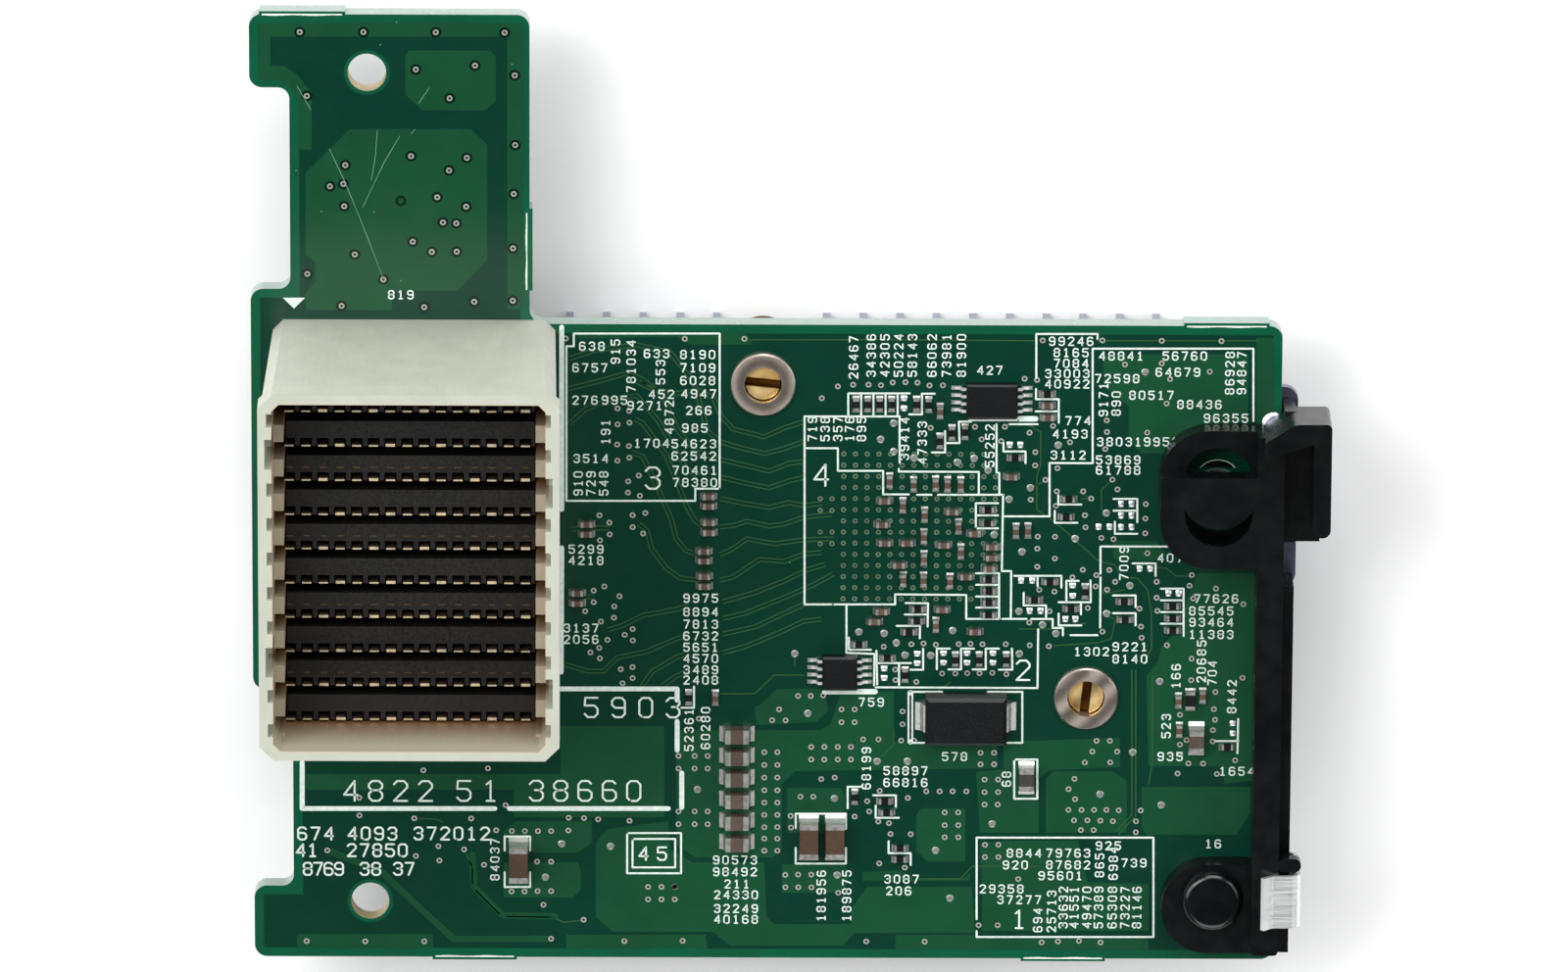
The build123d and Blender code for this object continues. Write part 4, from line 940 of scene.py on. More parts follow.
def housing_plastic():
    """Moulded liquid-crystal polyester with faint flow lines: dull cream outside, and inside the mouth
    painted shade that runs from pale grey-cream near the top to brown lower down.
    """
    material, tree, place = start_material("moulded_polyester_cream")
    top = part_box("connector_housing")[1][2]
    parts = add_node(tree, "ShaderNodeSeparateXYZ", {"Vector": place})
    # Painted shade: inside the mouth the colour is brown 8 mm below the housing's top and pale grey-cream
    # 1.5 mm below it, for the shade down in the mouth
    depth = add_node(tree, "ShaderNodeMapRange", {
        "Value": parts.outputs["Z"],
        "From Min": top - MOUTH_SHADE_DEPTHS[0] * MM, "From Max": top - MOUTH_SHADE_DEPTHS[1] * MM,
    })
    cloud = cloud_factor(tree, place, 3.0)
    colour = tuple(card().housing_colour)
    cream = add_node(tree, "ShaderNodeMix", {0: cloud, 6: colour, 7: darker(colour, 0.93)}, data_type="RGBA")
    deep = add_node(
        tree, "ShaderNodeMix", {0: depth.outputs["Result"], 6: linear("#6A4B28"), 7: linear("#B8B29D")},
        data_type="RGBA",
    )
    tone = add_node(
        tree, "ShaderNodeMix", {0: mouth_factor(tree, place), 6: cream.outputs[2], 7: deep.outputs[2]},
        data_type="RGBA",
    )
    flow = cloud_factor(tree, place, 0.6, stretch=(1.0, 1.0, 0.25))
    rough = add_node(tree, "ShaderNodeMapRange", {"Value": flow, "To Min": 0.42, "To Max": 0.55})
    relief = add_node(tree, "ShaderNodeBump", {"Height": flow, "Distance": 0.02 * MM, "Strength": 0.35})
    finish_material(tree, {
        "Base Color": tone.outputs[2], "IOR": 1.55, "Roughness": rough.outputs["Result"],
        "Normal": relief.outputs["Normal"], "Subsurface Weight": 0.08, "Subsurface Scale": 1.0 * MM,
    })
    return material


def turned_metal(name, colour, shade, middle, rough, painted_shade_level=None):
    """Turned metal: rings of tool marks round its axis, which draw the highlight out into a fan; when a
    shade level is given, all of the part below it is painted dark brown as shade.
    """
    material, tree, place = start_material(name)
    mapping = add_node(tree, "ShaderNodeMapping", {
        "Vector": place, "Location": (-middle[0], -middle[1], 0.0),
    })
    # Real tool marks are about 0.05 mm apart, too fine to draw, so broad rings 1.9 mm apart stand for them
    rings = add_node(tree, "ShaderNodeTexWave", {
        "Vector": mapping.outputs["Vector"], "Scale": per_metre(RING_SPACING) * WAVE_SPACING,
        "Distortion": 1.5, "Detail": 2.0,
    }, wave_type="RINGS", rings_direction="Z")
    cloud = cloud_factor(tree, place, 1.2)
    tone = add_node(
        tree, "ShaderNodeMix", {0: cloud, 6: linear(colour), 7: linear(shade)}, data_type="RGBA",
    )
    # Painted shade: below the level the colour is dark brown, for the shade down in a screw's slot
    if painted_shade_level is not None:
        parts = add_node(tree, "ShaderNodeSeparateXYZ", {"Vector": place})
        above = add_node(
            tree, "ShaderNodeMath", {0: parts.outputs["Z"], 1: painted_shade_level}, operation="GREATER_THAN",
        )
        tone = add_node(
            tree, "ShaderNodeMix", {0: above.outputs["Value"], 6: linear("#66431A"), 7: tone.outputs[2]},
            data_type="RGBA",
        )
    marks = rings.outputs["Fac"]
    spread = add_node(tree, "ShaderNodeMapRange", {
        "Value": marks, "To Min": rough * 0.8, "To Max": rough * 1.3,
    })
    relief = add_node(tree, "ShaderNodeBump", {"Height": marks, "Distance": 0.01 * MM, "Strength": 0.3})
    finish_material(tree, {
        "Base Color": tone.outputs[2], "Metallic": 1.0, "Roughness": spread.outputs["Result"],
        "Normal": relief.outputs["Normal"],
    })
    return material


def contact_metal(row):
    """Stamped bronze contact: a bright gold-plated lip on the top of its tip; every other face is dark
    brown, the bronze's own colour on faces that look up and painted shade on all the rest.
    """
    material, tree, place = start_material(f"gold_plated_bronze_{row[-2:]}")
    geometry = add_node(tree, "ShaderNodeNewGeometry")
    normal = add_node(tree, "ShaderNodeSeparateXYZ", {"Vector": geometry.outputs["Normal"]})
    parts = add_node(tree, "ShaderNodeSeparateXYZ", {"Vector": place})
    top = add_node(tree, "ShaderNodeMath", {0: normal.outputs["Z"], 1: 0.7}, operation="GREATER_THAN")
    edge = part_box(row)[0][1] + card().contact_lip
    lip = add_node(tree, "ShaderNodeMath", {0: parts.outputs["Y"], 1: edge}, operation="LESS_THAN")
    tip = add_node(
        tree, "ShaderNodeMath", {0: top.outputs["Value"], 1: lip.outputs["Value"]}, operation="MULTIPLY",
    )
    cloud = cloud_factor(tree, place, 0.3)
    pale, gold = linear("#FFF4DA"), linear("#F2DCAA")
    bright = add_node(tree, "ShaderNodeMix", {0: cloud, 6: pale, 7: gold}, data_type="RGBA")
    # Painted shade: the face's direction picks the colour, so only the upward faces of the lip are gold and
    # the sides are dark brown
    tone = add_node(
        tree, "ShaderNodeMix", {0: tip.outputs["Value"], 6: linear("#2B2015"), 7: bright.outputs[2]},
        data_type="RGBA",
    )
    finish_material(tree, {
        "Base Color": tone.outputs[2], "Metallic": tip.outputs["Value"], "Roughness": 0.5,
    })
    return material


def printed_ink():
    """Screen-printed epoxy ink: off-white and matt, thin in places where the green shows through."""
    material, tree, place = start_material("screen_printed_ink")
    cloud = cloud_factor(tree, place, 0.4)
    thick, thin = tuple(card().ink_colour), linear("#C3D2C9")
    tone = add_node(tree, "ShaderNodeMix", {0: cloud, 6: thick, 7: thin}, data_type="RGBA")
    rough = add_node(tree, "ShaderNodeMapRange", {"Value": cloud, "To Min": 0.5, "To Max": 0.65})
    relief = add_node(tree, "ShaderNodeBump", {"Height": cloud, "Distance": 0.01 * MM, "Strength": 0.4})
    finish_material(tree, {
        "Base Color": tone.outputs[2], "IOR": 1.5, "Roughness": rough.outputs["Result"],
        "Normal": relief.outputs["Normal"],
    })
    return material


def sheet_paper():
    """Matt coated paper: even and pale, with no highlight."""
    material, tree, place = start_material("matt_paper_sweep")
    cloud = cloud_factor(tree, place, 60.0)
    white, off_white = linear("#F7F7F7"), linear("#F4F4F5")
    tone = add_node(tree, "ShaderNodeMix", {0: cloud, 6: white, 7: off_white}, data_type="RGBA")
    rough = add_node(tree, "ShaderNodeMapRange", {"Value": cloud, "To Min": 0.85, "To Max": 0.95})
    finish_material(tree, {"Base Color": tone.outputs[2], "Roughness": rough.outputs["Result"]})
    return material


class CardSettings(bpy.types.PropertyGroup):
    """Sizes and colours of the card's dressing"""

    via_ring: bpy.props.FloatProperty(
        name="Via ring", description="Outer diameter of a via's ring",
        default=0.5 * MM, min=0.1 * MM, precision=5, unit="LENGTH")
    via_hole: bpy.props.FloatProperty(
        name="Via hole", description="Diameter of a via's open hole",
        default=0.25 * MM, min=0.05 * MM, precision=5, unit="LENGTH")
    clearance_ring: bpy.props.FloatProperty(
        name="Clearance ring", description="Diameter cleared of copper round a via of the tab",
        default=0.95 * MM, min=0.1 * MM, precision=5, unit="LENGTH")
    test_pad: bpy.props.FloatProperty(
        name="Test pad", description="Diameter of a test pad",
        default=0.66 * MM, min=0.1 * MM, precision=5, unit="LENGTH")
    trace_width: bpy.props.FloatProperty(
        name="Trace width", description="Width of a signal trace",
        default=0.12 * MM, min=0.05 * MM, precision=5, unit="LENGTH")
    trace_gap: bpy.props.FloatProperty(
        name="Pair spacing", description="Distance between the centres of a pair of traces",
        default=0.34 * MM, min=0.1 * MM, precision=5, unit="LENGTH")
    ink_width: bpy.props.FloatProperty(
        name="Ink width", description="Width of a printed line",
        default=0.17 * MM, min=0.05 * MM, precision=5, unit="LENGTH")
    number_height: bpy.props.FloatProperty(
        name="Number height", description="Height of the small printed numbers",
        default=0.7 * MM, min=0.3 * MM, precision=5, unit="LENGTH")
    contact_lip: bpy.props.FloatProperty(
        name="Contact lip", description="Width of the bright lip on each contact's tip",
        default=0.13 * MM, min=0.05 * MM, precision=5, unit="LENGTH")
    mask_colour: bpy.props.FloatVectorProperty(
        name="Mask colour", description="Colour of the solder mask over bare laminate", subtype="COLOR",
        size=4, min=0.0, max=1.0, default=linear("#003325"))
    copper_mask_colour: bpy.props.FloatVectorProperty(
        name="Mask over copper", description="Colour of the solder mask over copper", subtype="COLOR",
        size=4, min=0.0, max=1.0, default=linear("#11462B"))
    housing_colour: bpy.props.FloatVectorProperty(
        name="Housing colour", description="Colour of the connector housing's outside", subtype="COLOR",
        size=4, min=0.0, max=1.0, default=linear("#B4B8AA"))
    ink_colour: bpy.props.FloatVectorProperty(
        name="Ink colour", description="Colour of the printed ink", subtype="COLOR",
        size=4, min=0.0, max=1.0, default=linear("#D6E4DC"))


def card():
    """Give the card's settings."""
    return bpy.context.scene.mezzanine_card


def size(name):
    """Give one of the card's sizes, in millimetres."""
    return getattr(card(), name) / MM


def finish_nodes(finishes):
    """Put each finish on its frame node."""
    for node, material in finishes.items():
        slots = frame["nodes"][node].material_slots
        if not slots:
            raise RuntimeError(f"{node} has no material slot")
        for slot in slots:
            slot.material = material


def board_outline(gap):
    """Give the board's outline, drawn in by a gap."""
    low = EAR_WIDTH + NOTCH_WIDTH
    high = BOARD_WIDTH - EAR_WIDTH - NOTCH_WIDTH
    return [
        (gap, gap), (BOARD_LENGTH - gap, gap), (BOARD_LENGTH - gap, MAIN_WIDTH - gap),
        (TAB_LENGTH - gap, MAIN_WIDTH - gap), (TAB_LENGTH - gap, BOARD_WIDTH - gap),
        (gap, BOARD_WIDTH - gap), (gap, BOARD_WIDTH - EAR_WIDTH + gap),
        (NOTCH_DEPTH + gap, BOARD_WIDTH - EAR_WIDTH + gap), (NOTCH_DEPTH + gap, high - gap),
        (gap, high - gap), (gap, low + gap), (NOTCH_DEPTH + gap, low + gap),
        (NOTCH_DEPTH + gap, EAR_WIDTH - gap), (gap, EAR_WIDTH - gap),
    ]


def board_holes(margin):
    """Give circles round the board's open holes."""
    return [
        circle_points(HOLE_X, HOLE_Y, HOLE_RADIUS + margin),
        circle_points(HOLE_X, BOARD_WIDTH - HOLE_Y, HOLE_RADIUS + margin),
        circle_points(*UPPER_HOLE, UPPER_HOLE_RADIUS + margin * UPPER_HOLE_MARGIN_SHARE),
        circle_points(*BUSHES[0], BUSH_HOLE_RADIUS),
        circle_points(*BUSHES[1], BUSH_HOLE_RADIUS),
    ]


class CARD_OT_mask(bpy.types.Operator):
    """Lay the mask over the bare laminate and over the copper areas"""

    bl_idname = "card.mask"
    bl_label = "Solder mask"

    def execute(self, context):
        finish_nodes({"circuit_board": board_laminate()})
        bare = solder_mask("solder_mask_over_laminate", tuple(card().mask_colour))
        copper = solder_mask("solder_mask_over_copper", tuple(card().copper_mask_colour))
        outline = board_outline(MASK_INSET)
        fill_outline("mask_over_laminate", outline, board_holes(MASK_HOLE_MARGIN), PLANE_LEVEL, bare)
        areas = Sheet()
        for pixels in COPPER_AREAS:
            points = course(pixels)
            turn = sum(
                x * next_y - next_x * y for (x, y), (next_x, next_y) in zip(points, points[1:] + points[:1])
            )
            areas.face(points if turn > 0 else points[::-1], COPPER_LEVEL)
        make_piece("copper_areas", areas, copper)
        rear_holes = board_holes(REAR_MASK_HOLE_MARGIN)
        fill_outline("rear_mask_over_copper", outline, rear_holes, PLANE_LEVEL, copper, rear=True)
        return {"FINISHED"}


class CARD_OT_sawn_edges(bpy.types.Operator):
    """Fray the stubs where the card was broken out, and line the mounting holes"""

    bl_idname = "card.sawn_edges"
    bl_label = "Sawn edges"

    def execute(self, context):
        # Torn glass fibre: the broken ends of the cloth scatter the light, so the tear looks chalky
        fibre = moulded("torn_glass_fibre", "#DDE4DD", "#BECABF", 0.6, 0.3)
        strips = Sheet()
        half = STUB_LENGTH / 2 - STUB
        for across, down, side in STUBS:
            x, y = spot(across, down)
            for step in range(FRAY_STEPS):
                start = -half + 2 * half * step / FRAY_STEPS
                stop = start + 2 * half / FRAY_STEPS
                width = STUB * (FRAY_WIDTH_SHARE + FRAY_SWING_SHARE * math.sin(step * FRAY_TURN))
                low, high = {
                    "right": ((x - width, y + start), (x, y + stop)),
                    "upper": ((x + start, y - width), (x + stop, y)),
                    "lower": ((x + start, y), (x + stop, y + width)),
                }[side]
                strips.block((*low, 0.0), (*high, FRAY_RISE))
        make_piece("torn_stubs", strips, fibre)
        walls = Sheet()
        for y in (HOLE_Y, BOARD_WIDTH - HOLE_Y):
            points = circle_points(HOLE_X, y, HOLE_RADIUS - WALL_GAP)
            for first, second in zip(points, points[1:] + points[:1]):
                start = len(walls.places)
                for point, level in (
                    (first, -BOARD_THICKNESS), (first, 0.0), (second, 0.0), (second, -BOARD_THICKNESS),
                ):
                    walls.places.append(world(*point, level))
                walls.add([start, start + 1, start + 2, start + 3])
        # Drilled laminate without copper: resin and cut glass, a matt tan
        make_piece("hole_walls", walls, moulded("drilled_laminate_wall", "#B5A680", "#968766", 0.5))
        return {"FINISHED"}


def beside(points, offset):
    """Give a course that runs beside another one, to its left by an offset."""
    shifted = []
    for step, (x, y) in enumerate(points):
        before = points[max(step - 1, 0)]
        after = points[min(step + 1, len(points) - 1)]
        length = math.hypot(after[0] - before[0], after[1] - before[1])
        across = (-(after[1] - before[1]) / length, (after[0] - before[0]) / length)
        shifted.append((x + across[0] * offset, y + across[1] * offset))
    return shifted


class CARD_OT_traces(bpy.types.Operator):
    """Run the signal traces under the mask"""

    bl_idname = "card.traces"
    bl_label = "Traces"

    def execute(self, context):
        # Mask over a narrow trace: thinner on its shoulders, so a yellower line shows through
        material = solder_mask("solder_mask_over_trace", linear("#2A5132"))
        traces = Sheet()
        for pixels in PAIRED_TRACES:
            for offset in (-size("trace_gap") / 2, size("trace_gap") / 2):
                traces.stroke(beside(course(pixels), offset), size("trace_width"), TRACE_LEVEL)
        for pixels in SINGLE_TRACES:
            traces.stroke(course(pixels), size("trace_width"), TRACE_LEVEL)
        make_piece("traces", traces, material)
        wide = Sheet()
        for pixels in WIDE_TRACES:
            wide.stroke(course(pixels), WIDE_TRACE_SHARE * size("trace_width"), TRACE_LEVEL)
        make_piece("wide_traces", wide, bpy.data.materials["solder_mask_over_copper"])
        return {"FINISHED"}


def via_places():
    """Give the board places of all the vias."""
    places = course(VIAS + TAB_VIAS)
    for columns, rows in VIA_BLOCKS:
        places.extend(spot(across, down) for across in columns for down in rows)
    return places


class CARD_OT_vias(bpy.types.Operator):
    """Lay out the vias, each a tinned ring round a near-black disc of painted shade for its open hole, with
    copper cleared round the tab's vias and one buried ring
    """

    bl_idname = "card.vias"
    bl_label = "Vias"

    def execute(self, context):
        rings = Sheet()
        holes = Sheet()
        cleared = Sheet()
        for x, y in course((*TAB_VIAS, BURIED_RING)):
            cleared.ring(x, y, size("via_ring") / 2, size("clearance_ring") / 2, ANTIPAD_LEVEL)
        for x, y in via_places():
            rings.ring(x, y, size("via_hole") / 2, size("via_ring") / 2, PAD_LEVEL)
            holes.disc(x, y, size("via_hole") / 2, PAD_LEVEL, 12)
        # Hot-dipped tin: a thin bright skin, dulled by handling
        dipped = metal("dipped_tin_via_ring", "#CDD2C8", "#B2B8AD", 0.55)
        make_piece("via_rings", rings, dipped)
        # Painted shade: a flat near-black disc over each via stands for the dark down its open hole
        make_piece("via_hole_shades", holes, moulded("via_hole_painted_shade", "#0B1411", "#070D0B", 0.8))
        # Mask over a gap in the copper: nearly black, as nothing under it gives light back
        make_piece("via_clearances", cleared, solder_mask("solder_mask_over_clearance", linear("#00190F")))
        return {"FINISHED"}


class CARD_OT_ball_grid(bpy.types.Operator):
    """Lay out the masked vias of the controller's ball grid"""

    bl_idname = "card.ball_grid"
    bl_label = "Ball grid"

    def execute(self, context):
        places = [
            (GRID_FIRST[0] + column * GRID_PITCH, GRID_FIRST[1] - row * GRID_PITCH)
            for column in range(GRID_COUNT) for row in range(GRID_COUNT)
        ]
        columns, rows = GRID_EXTRA_COLUMNS
        places.extend(spot(across, down) for across in columns for down in rows)
        rings = Sheet()
        holes = Sheet()
        for x, y in places:
            rings.ring(x, y, size("via_hole") / 2, size("via_ring") * GRID_RING_SHARE, PAD_LEVEL)
            holes.disc(x, y, size("via_hole") / 2, PAD_LEVEL, 12)
        # Copper ring under a skin of mask: a dull olive circle
        make_piece("grid_rings", rings, moulded("mask_skinned_copper_ring", "#5F7A60", "#4A654E", 0.4))
        # Hole plugged with mask resin: dark and matt
        make_piece("grid_holes", holes, moulded("mask_plugged_hole", "#16251C", "#101C15", 0.7))
        return {"FINISHED"}


class CARD_OT_bare_pads(bpy.types.Operator):
    """Tin the test pads and the pads that carry no part"""

    bl_idname = "card.bare_pads"
    bl_label = "Bare pads"

    def execute(self, context):
        domes = Sheet()
        for x, y in course(TEST_PADS + SOLDER_BLOBS):
            domes.dome(x, y, size("test_pad") / 2, TEST_PAD_RISE, PAD_LEVEL)
        # Tin worn by test probes: grey, with a broad weak highlight
        worn = metal("probe_worn_tin", "#A9B0AA", "#8C948E", 0.5)
        make_piece("test_pads", domes, worn, smooth=True)
        pads = Sheet()
        for first_x, first_y, second_x, second_y in SPARE_PAIRS:
            side_by_side = abs(second_x - first_x) > abs(second_y - first_y)
            half_x, half_y = SPARE_PAD_HALF if side_by_side else SPARE_PAD_HALF[::-1]
            for x, y in (spot(first_x, first_y), spot(second_x, second_y)):
                low = (x - half_x, y - half_y, 0.0)
                pads.block(low, (x + half_x, y + half_y, SPARE_PAD_RISE), SPARE_PAD_SLOPE)
        # Tin melted flat in the oven: a smooth pillow with a bright spot
        flowed = metal("reflowed_tin", "#F2F6F7", "#E0E6E6", 0.42)
        make_piece("bare_pads", pads, flowed, smooth=True)
        return {"FINISHED"}


def add_joint(sheet, end, body, reach, climb):
    """Add a pad and a solder fillet at one end of a chip."""
    low, high = end
    end_x, end_y = centre(end)
    body_x, body_y = centre(body)
    height = high[2] - max(low[2], 0.0)
    if abs(end_x - body_x) > abs(end_y - body_y):
        side = 1 if end_x > body_x else -1
        face = high[0] if side > 0 else low[0]
        inner_low, outer_low, outer_high, inner_high = (
            (face, low[1] - JOINT_MARGIN), (face + side * reach, low[1] - JOINT_MARGIN),
            (face + side * reach, high[1] + JOINT_MARGIN), (face, high[1] + JOINT_MARGIN),
        )
    else:
        side = 1 if end_y > body_y else -1
        face = high[1] if side > 0 else low[1]
        inner_low, outer_low, outer_high, inner_high = (
            (high[0] + JOINT_MARGIN, face), (high[0] + JOINT_MARGIN, face + side * reach),
            (low[0] - JOINT_MARGIN, face + side * reach), (low[0] - JOINT_MARGIN, face),
        )
    middle_low, middle_high = (
        tuple(near + (far - near) * FILLET_PLACE_SHARE for near, far in zip(inner, outer))
        for inner, outer in ((inner_low, outer_low), (inner_high, outer_high))
    )
    top = height * climb
    bend = top * FILLET_RISE_SHARE + JOINT_RIM
    start = len(sheet.places)
    for point, level in (
        (outer_low, JOINT_BASE), (outer_high, JOINT_BASE), (outer_low, JOINT_RIM), (outer_high, JOINT_RIM),
        (middle_low, bend), (middle_high, bend), (inner_low, top), (inner_high, top),
        (inner_low, JOINT_BASE), (inner_high, JOINT_BASE),
    ):
        sheet.places.append(world(*point, level))
    for order in ((0, 1, 3, 2), (2, 3, 5, 4), (4, 5, 7, 6), (0, 2, 4, 6, 8), (1, 9, 7, 5, 3)):
        numbers = [start + number for number in order]
        sheet.add(numbers if side > 0 else numbers[::-1])


class CARD_OT_solder(bpy.types.Operator):
    """Solder the chips' ends and leads to their pads"""

    bl_idname = "card.solder"
    bl_label = "Solder joints"

    def execute(self, context):
        joints = Sheet()
        thin_joints = Sheet()
        for bodies, ends, reach, climb in JOINTS:
            body_boxes = islands(bodies)
            for end in islands(ends):
                body = min(body_boxes, key=lambda box: math.dist(centre(box), centre(end)))
                add_joint(joints if reach > THIN_JOINT_REACH else thin_joints, end, body, reach, climb)
        for chip in ("upper_chip", "lower_chip"):
            middle = centre(islands(chip)[0])
            for low, high in islands(f"{chip}_leads"):
                before = high[0] < middle[0]
                left = low[0] - LEAD_TOE if before else high[0] - LEAD_HEEL
                right = low[0] + LEAD_HEEL if before else high[0] + LEAD_TOE
                start = (left, low[1] - LEAD_SIDE, 0.0)
                joints.block(start, (right, high[1] + LEAD_SIDE, LEAD_JOINT_RISE), LEAD_JOINT_SLOPE)
        # Solder reflowed in the oven: a bright, slightly grainy slope from part to pad
        bright = metal("reflowed_solder", "#E8E9E6", "#D2D4CF", 0.4)
        make_piece("solder_joints", joints, bright)
        # The same under the smallest parts, greyer because flux dulls so thin a joint
        dull = metal("thin_reflowed_solder", "#A9AAA6", "#929490", 0.45)
        make_piece("thin_solder_joints", thin_joints, dull)
        return {"FINISHED"}


class CARD_OT_ink_lines(bpy.types.Operator):
    """Print the outlines round the parts"""

    bl_idname = "card.ink_lines"
    bl_label = "Printed lines"

    def execute(self, context):
        lines = Sheet()
        for courses, share in (
            (INK_LINES, 1.0), (WIDE_INK_LINES, WIDE_INK_SHARE), (BROAD_INK_BARS, BROAD_INK_SHARE),
        ):
            for pixels in courses:
                lines.stroke(course(pixels), share * size("ink_width"), INK_LEVEL)
        lines.face(course(FIRST_CONTACT_MARK)[::-1], INK_LEVEL)
        make_piece("printed_lines", lines, printed_ink())
        return {"FINISHED"}


def plain_number(count, digits):
    """Give a plain number of so many digits that differs from its neighbours."""
    low = 10 ** (digits - 1)
    return low + (count * NUMBER_STEP) % (9 * low)


def print_number(sheet, value, x, y, height, spacing, width, upright=False):
    """Print a number centred on a place, reading across or up the board."""
    row_unit = height / DIGIT_ROWS
    column_unit = row_unit * DIGIT_WIDTH_SHARE
    text = str(value)
    start = -(spacing * (len(text) - 1) + DIGIT_COLUMNS * column_unit) / 2
    for step, digit in enumerate(text):
        for stroke in DIGITS[int(digit)]:
            points = []
            for column, row in stroke:
                along = start + step * spacing + column * column_unit
                above = row * row_unit - height / 2
                points.append((x - above, y + along) if upright else (x + along, y + above))
            sheet.stroke(points, width, INK_LEVEL)


class CARD_OT_ink_numbers(bpy.types.Operator):
    """Print plain numbers beside the parts"""

    bl_idname = "card.ink_numbers"
    bl_label = "Printed numbers"

    def execute(self, context):
        ink = bpy.data.materials["screen_printed_ink"]
        small = Sheet()
        count = 0
        height = size("number_height")
        spacing = height * NUMBER_SPACING_SHARE
        width = size("ink_width") * SMALL_NUMBER_INK_SHARE
        for places, upright in ((NUMBERS_ACROSS, False), (NUMBERS_UPRIGHT, True)):
            for across, down, digits in places:
                count += 1
                value = plain_number(count, digits)
                print_number(small, value, *spot(across, down), height, spacing, width, upright)
        make_piece("printed_numbers", small, ink)
        large = Sheet()
        for across, down, digits, height, spacing in LARGE_NUMBERS + PLANT_NUMBERS:
            count += 1
            value = plain_number(count, digits)
            print_number(large, value, *spot(across, down), height, spacing, size("ink_width"))
        make_piece("large_printed_numbers", large, ink)
        return {"FINISHED"}


class CARD_OT_connector(bpy.types.Operator):
    """Finish the connector and mark its wafers"""

    bl_idname = "card.connector"
    bl_label = "Connector"

    def execute(self, context):
        rows = [f"contact_row_{number:02d}" for number in range(1, ROW_COUNT + 1)]
        # Moulded glass-filled polyester: near black, with a low sheen
        black = moulded("moulded_polyester_black", "#110F0D", "#0C0A09", 0.45)
        finishes = {"connector_housing": housing_plastic()}
        for row in rows:
            finishes[row.replace("row", "wafer")] = black
            finishes[row] = contact_metal(row)
        finish_nodes(finishes)
        marks = Sheet()
        half_x, half_y = WAFER_MARK_HALF
        for number in MARKED_WAFERS:
            low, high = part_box(f"contact_wafer_{number:02d}")
            top = (high[2] - FRONT) / MM
            y = (low[1] - BOTTOM) / MM + WAFER_MARK_INSET
            for box in islands(rows[number - 1]):
                x = centre(box)[0]
                start = (x - half_x, y - half_y, top - WAFER_MARK_DEPTH)
                marks.block(start, (x + half_x, y + half_y, top + WAFER_MARK_RISE))
        # Stamped bronze, unplated: a dull brown glint
        make_piece("wafer_marks", marks, metal("stamped_bronze", "#8A6A45", "#6F5335", 0.45))
        tips = Sheet()
        for row in rows:
            for low, high in islands(row):
                if high[1] - low[1] > THINNEST_GROUND:
                    edge = low[1] + GROUND_TIP_WIDTH
                    corners = [(low[0], low[1]), (high[0], low[1]), (high[0], edge), (low[0], edge)]
                    tips.face(corners, high[2] + GROUND_TIP_RISE)
        # Gold plate over nickel: pale yellow and bright, on the wider ground contacts
        gold = metal("gold_plated_ground_tip", "#FFF4DA", "#F2DCAA", 0.5)
        make_piece("ground_tips", tips, gold)
        # Three small black blocks beside the connector, for the black dashes seen there
        dashes = Sheet()
        half_x, half_y = BLACK_DASH_HALF
        for x, y in course(BLACK_DASHES):
            start = (x - half_x, y - half_y, 0.0)
            dashes.block(start, (x + half_x, y + half_y, BLACK_DASH_RISE), BLACK_DASH_SLOPE)
        make_piece("black_dashes", dashes, black)
        return {"FINISHED"}


class CARD_OT_hardware(bpy.types.Operator):
    """Finish the heatsink, its fasteners, the bracket and the clip"""

    bl_idname = "card.hardware"
    bl_label = "Hardware"

    def execute(self, context):
        axis = world(*BUSHES[0], 0.0)
        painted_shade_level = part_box("heatsink_screws")[1][2] - SCREW_SLOT_SHADE_DEPTH * MM
        finish_nodes({
            # Extruded and anodised: fine die lines along the fins under a soft grey-blue sheen
            "heatsink": metal("extruded_aluminium", "#A9AFBA", "#969CA8", 0.4, 0.5, (6.0, 0.2, 6.0)),
            # Cast silicone: matt and slightly blotched
            "thermal_pad": moulded("cast_silicone_pad", "#70757C", "#656A71", 0.7),
            # Stamped copper with nickel plate: a warm grey with a tight highlight
            "chip_lid": metal("nickel_plated_copper", "#B8B5AC", "#A6A39A", 0.3),
            # Laminate under mask: a lighter green than the board's
            "chip_substrate": solder_mask("chip_substrate_mask", linear("#1C5238")),
            # Turned and tin plated: ringed tool marks under a pale warm skin
            "threaded_bushes": turned_metal("turned_tin_plated_bush", "#DCCFC4", "#C6B8AB", axis, 0.36),
            # Turned brass: yellow, and painted dark brown as shade below the slot's depth under its top, for
            # a slot too deep for the light to reach
            "heatsink_screws": turned_metal("turned_brass", "#F8DCA0", "#E2BC76", axis, 0.42, painted_shade_level),
            # Drawn steel wire: a bright line along each turn
            "heatsink_springs": metal("drawn_spring_steel", "#B4B4B4", "#9A9A9A", 0.3),
            # Injection-moulded nylon: black, with a faint satin that lights only its edges
            "guide_bracket": moulded("moulded_nylon_black", "#040608", "#030506", 0.27, 2.0, 0.0),
            # Injection-moulded nylon from a polished mould: a little glossier
            "bracket_rivet": moulded("moulded_nylon_glossy_black", "#04060A", "#030508", 0.22, 2.0, 0.0),
            # Cold-rolled steel with blue zinc plate: a cool grey, faintly spangled
            "backing_plate": metal("zinc_plated_steel", "#8A8EA3", "#747990", 0.38, 0.8),
            # Rolled stainless strip: smooth, with rolling lines along it that streak the highlight
            "spring_clip": metal(
                "rolled_stainless_steel", "#F6F8F8", "#ECEEEE", 0.45, 0.5, (0.1, 5.0, 0.1), 0.0005,
            ),
        })
        return {"FINISHED"}


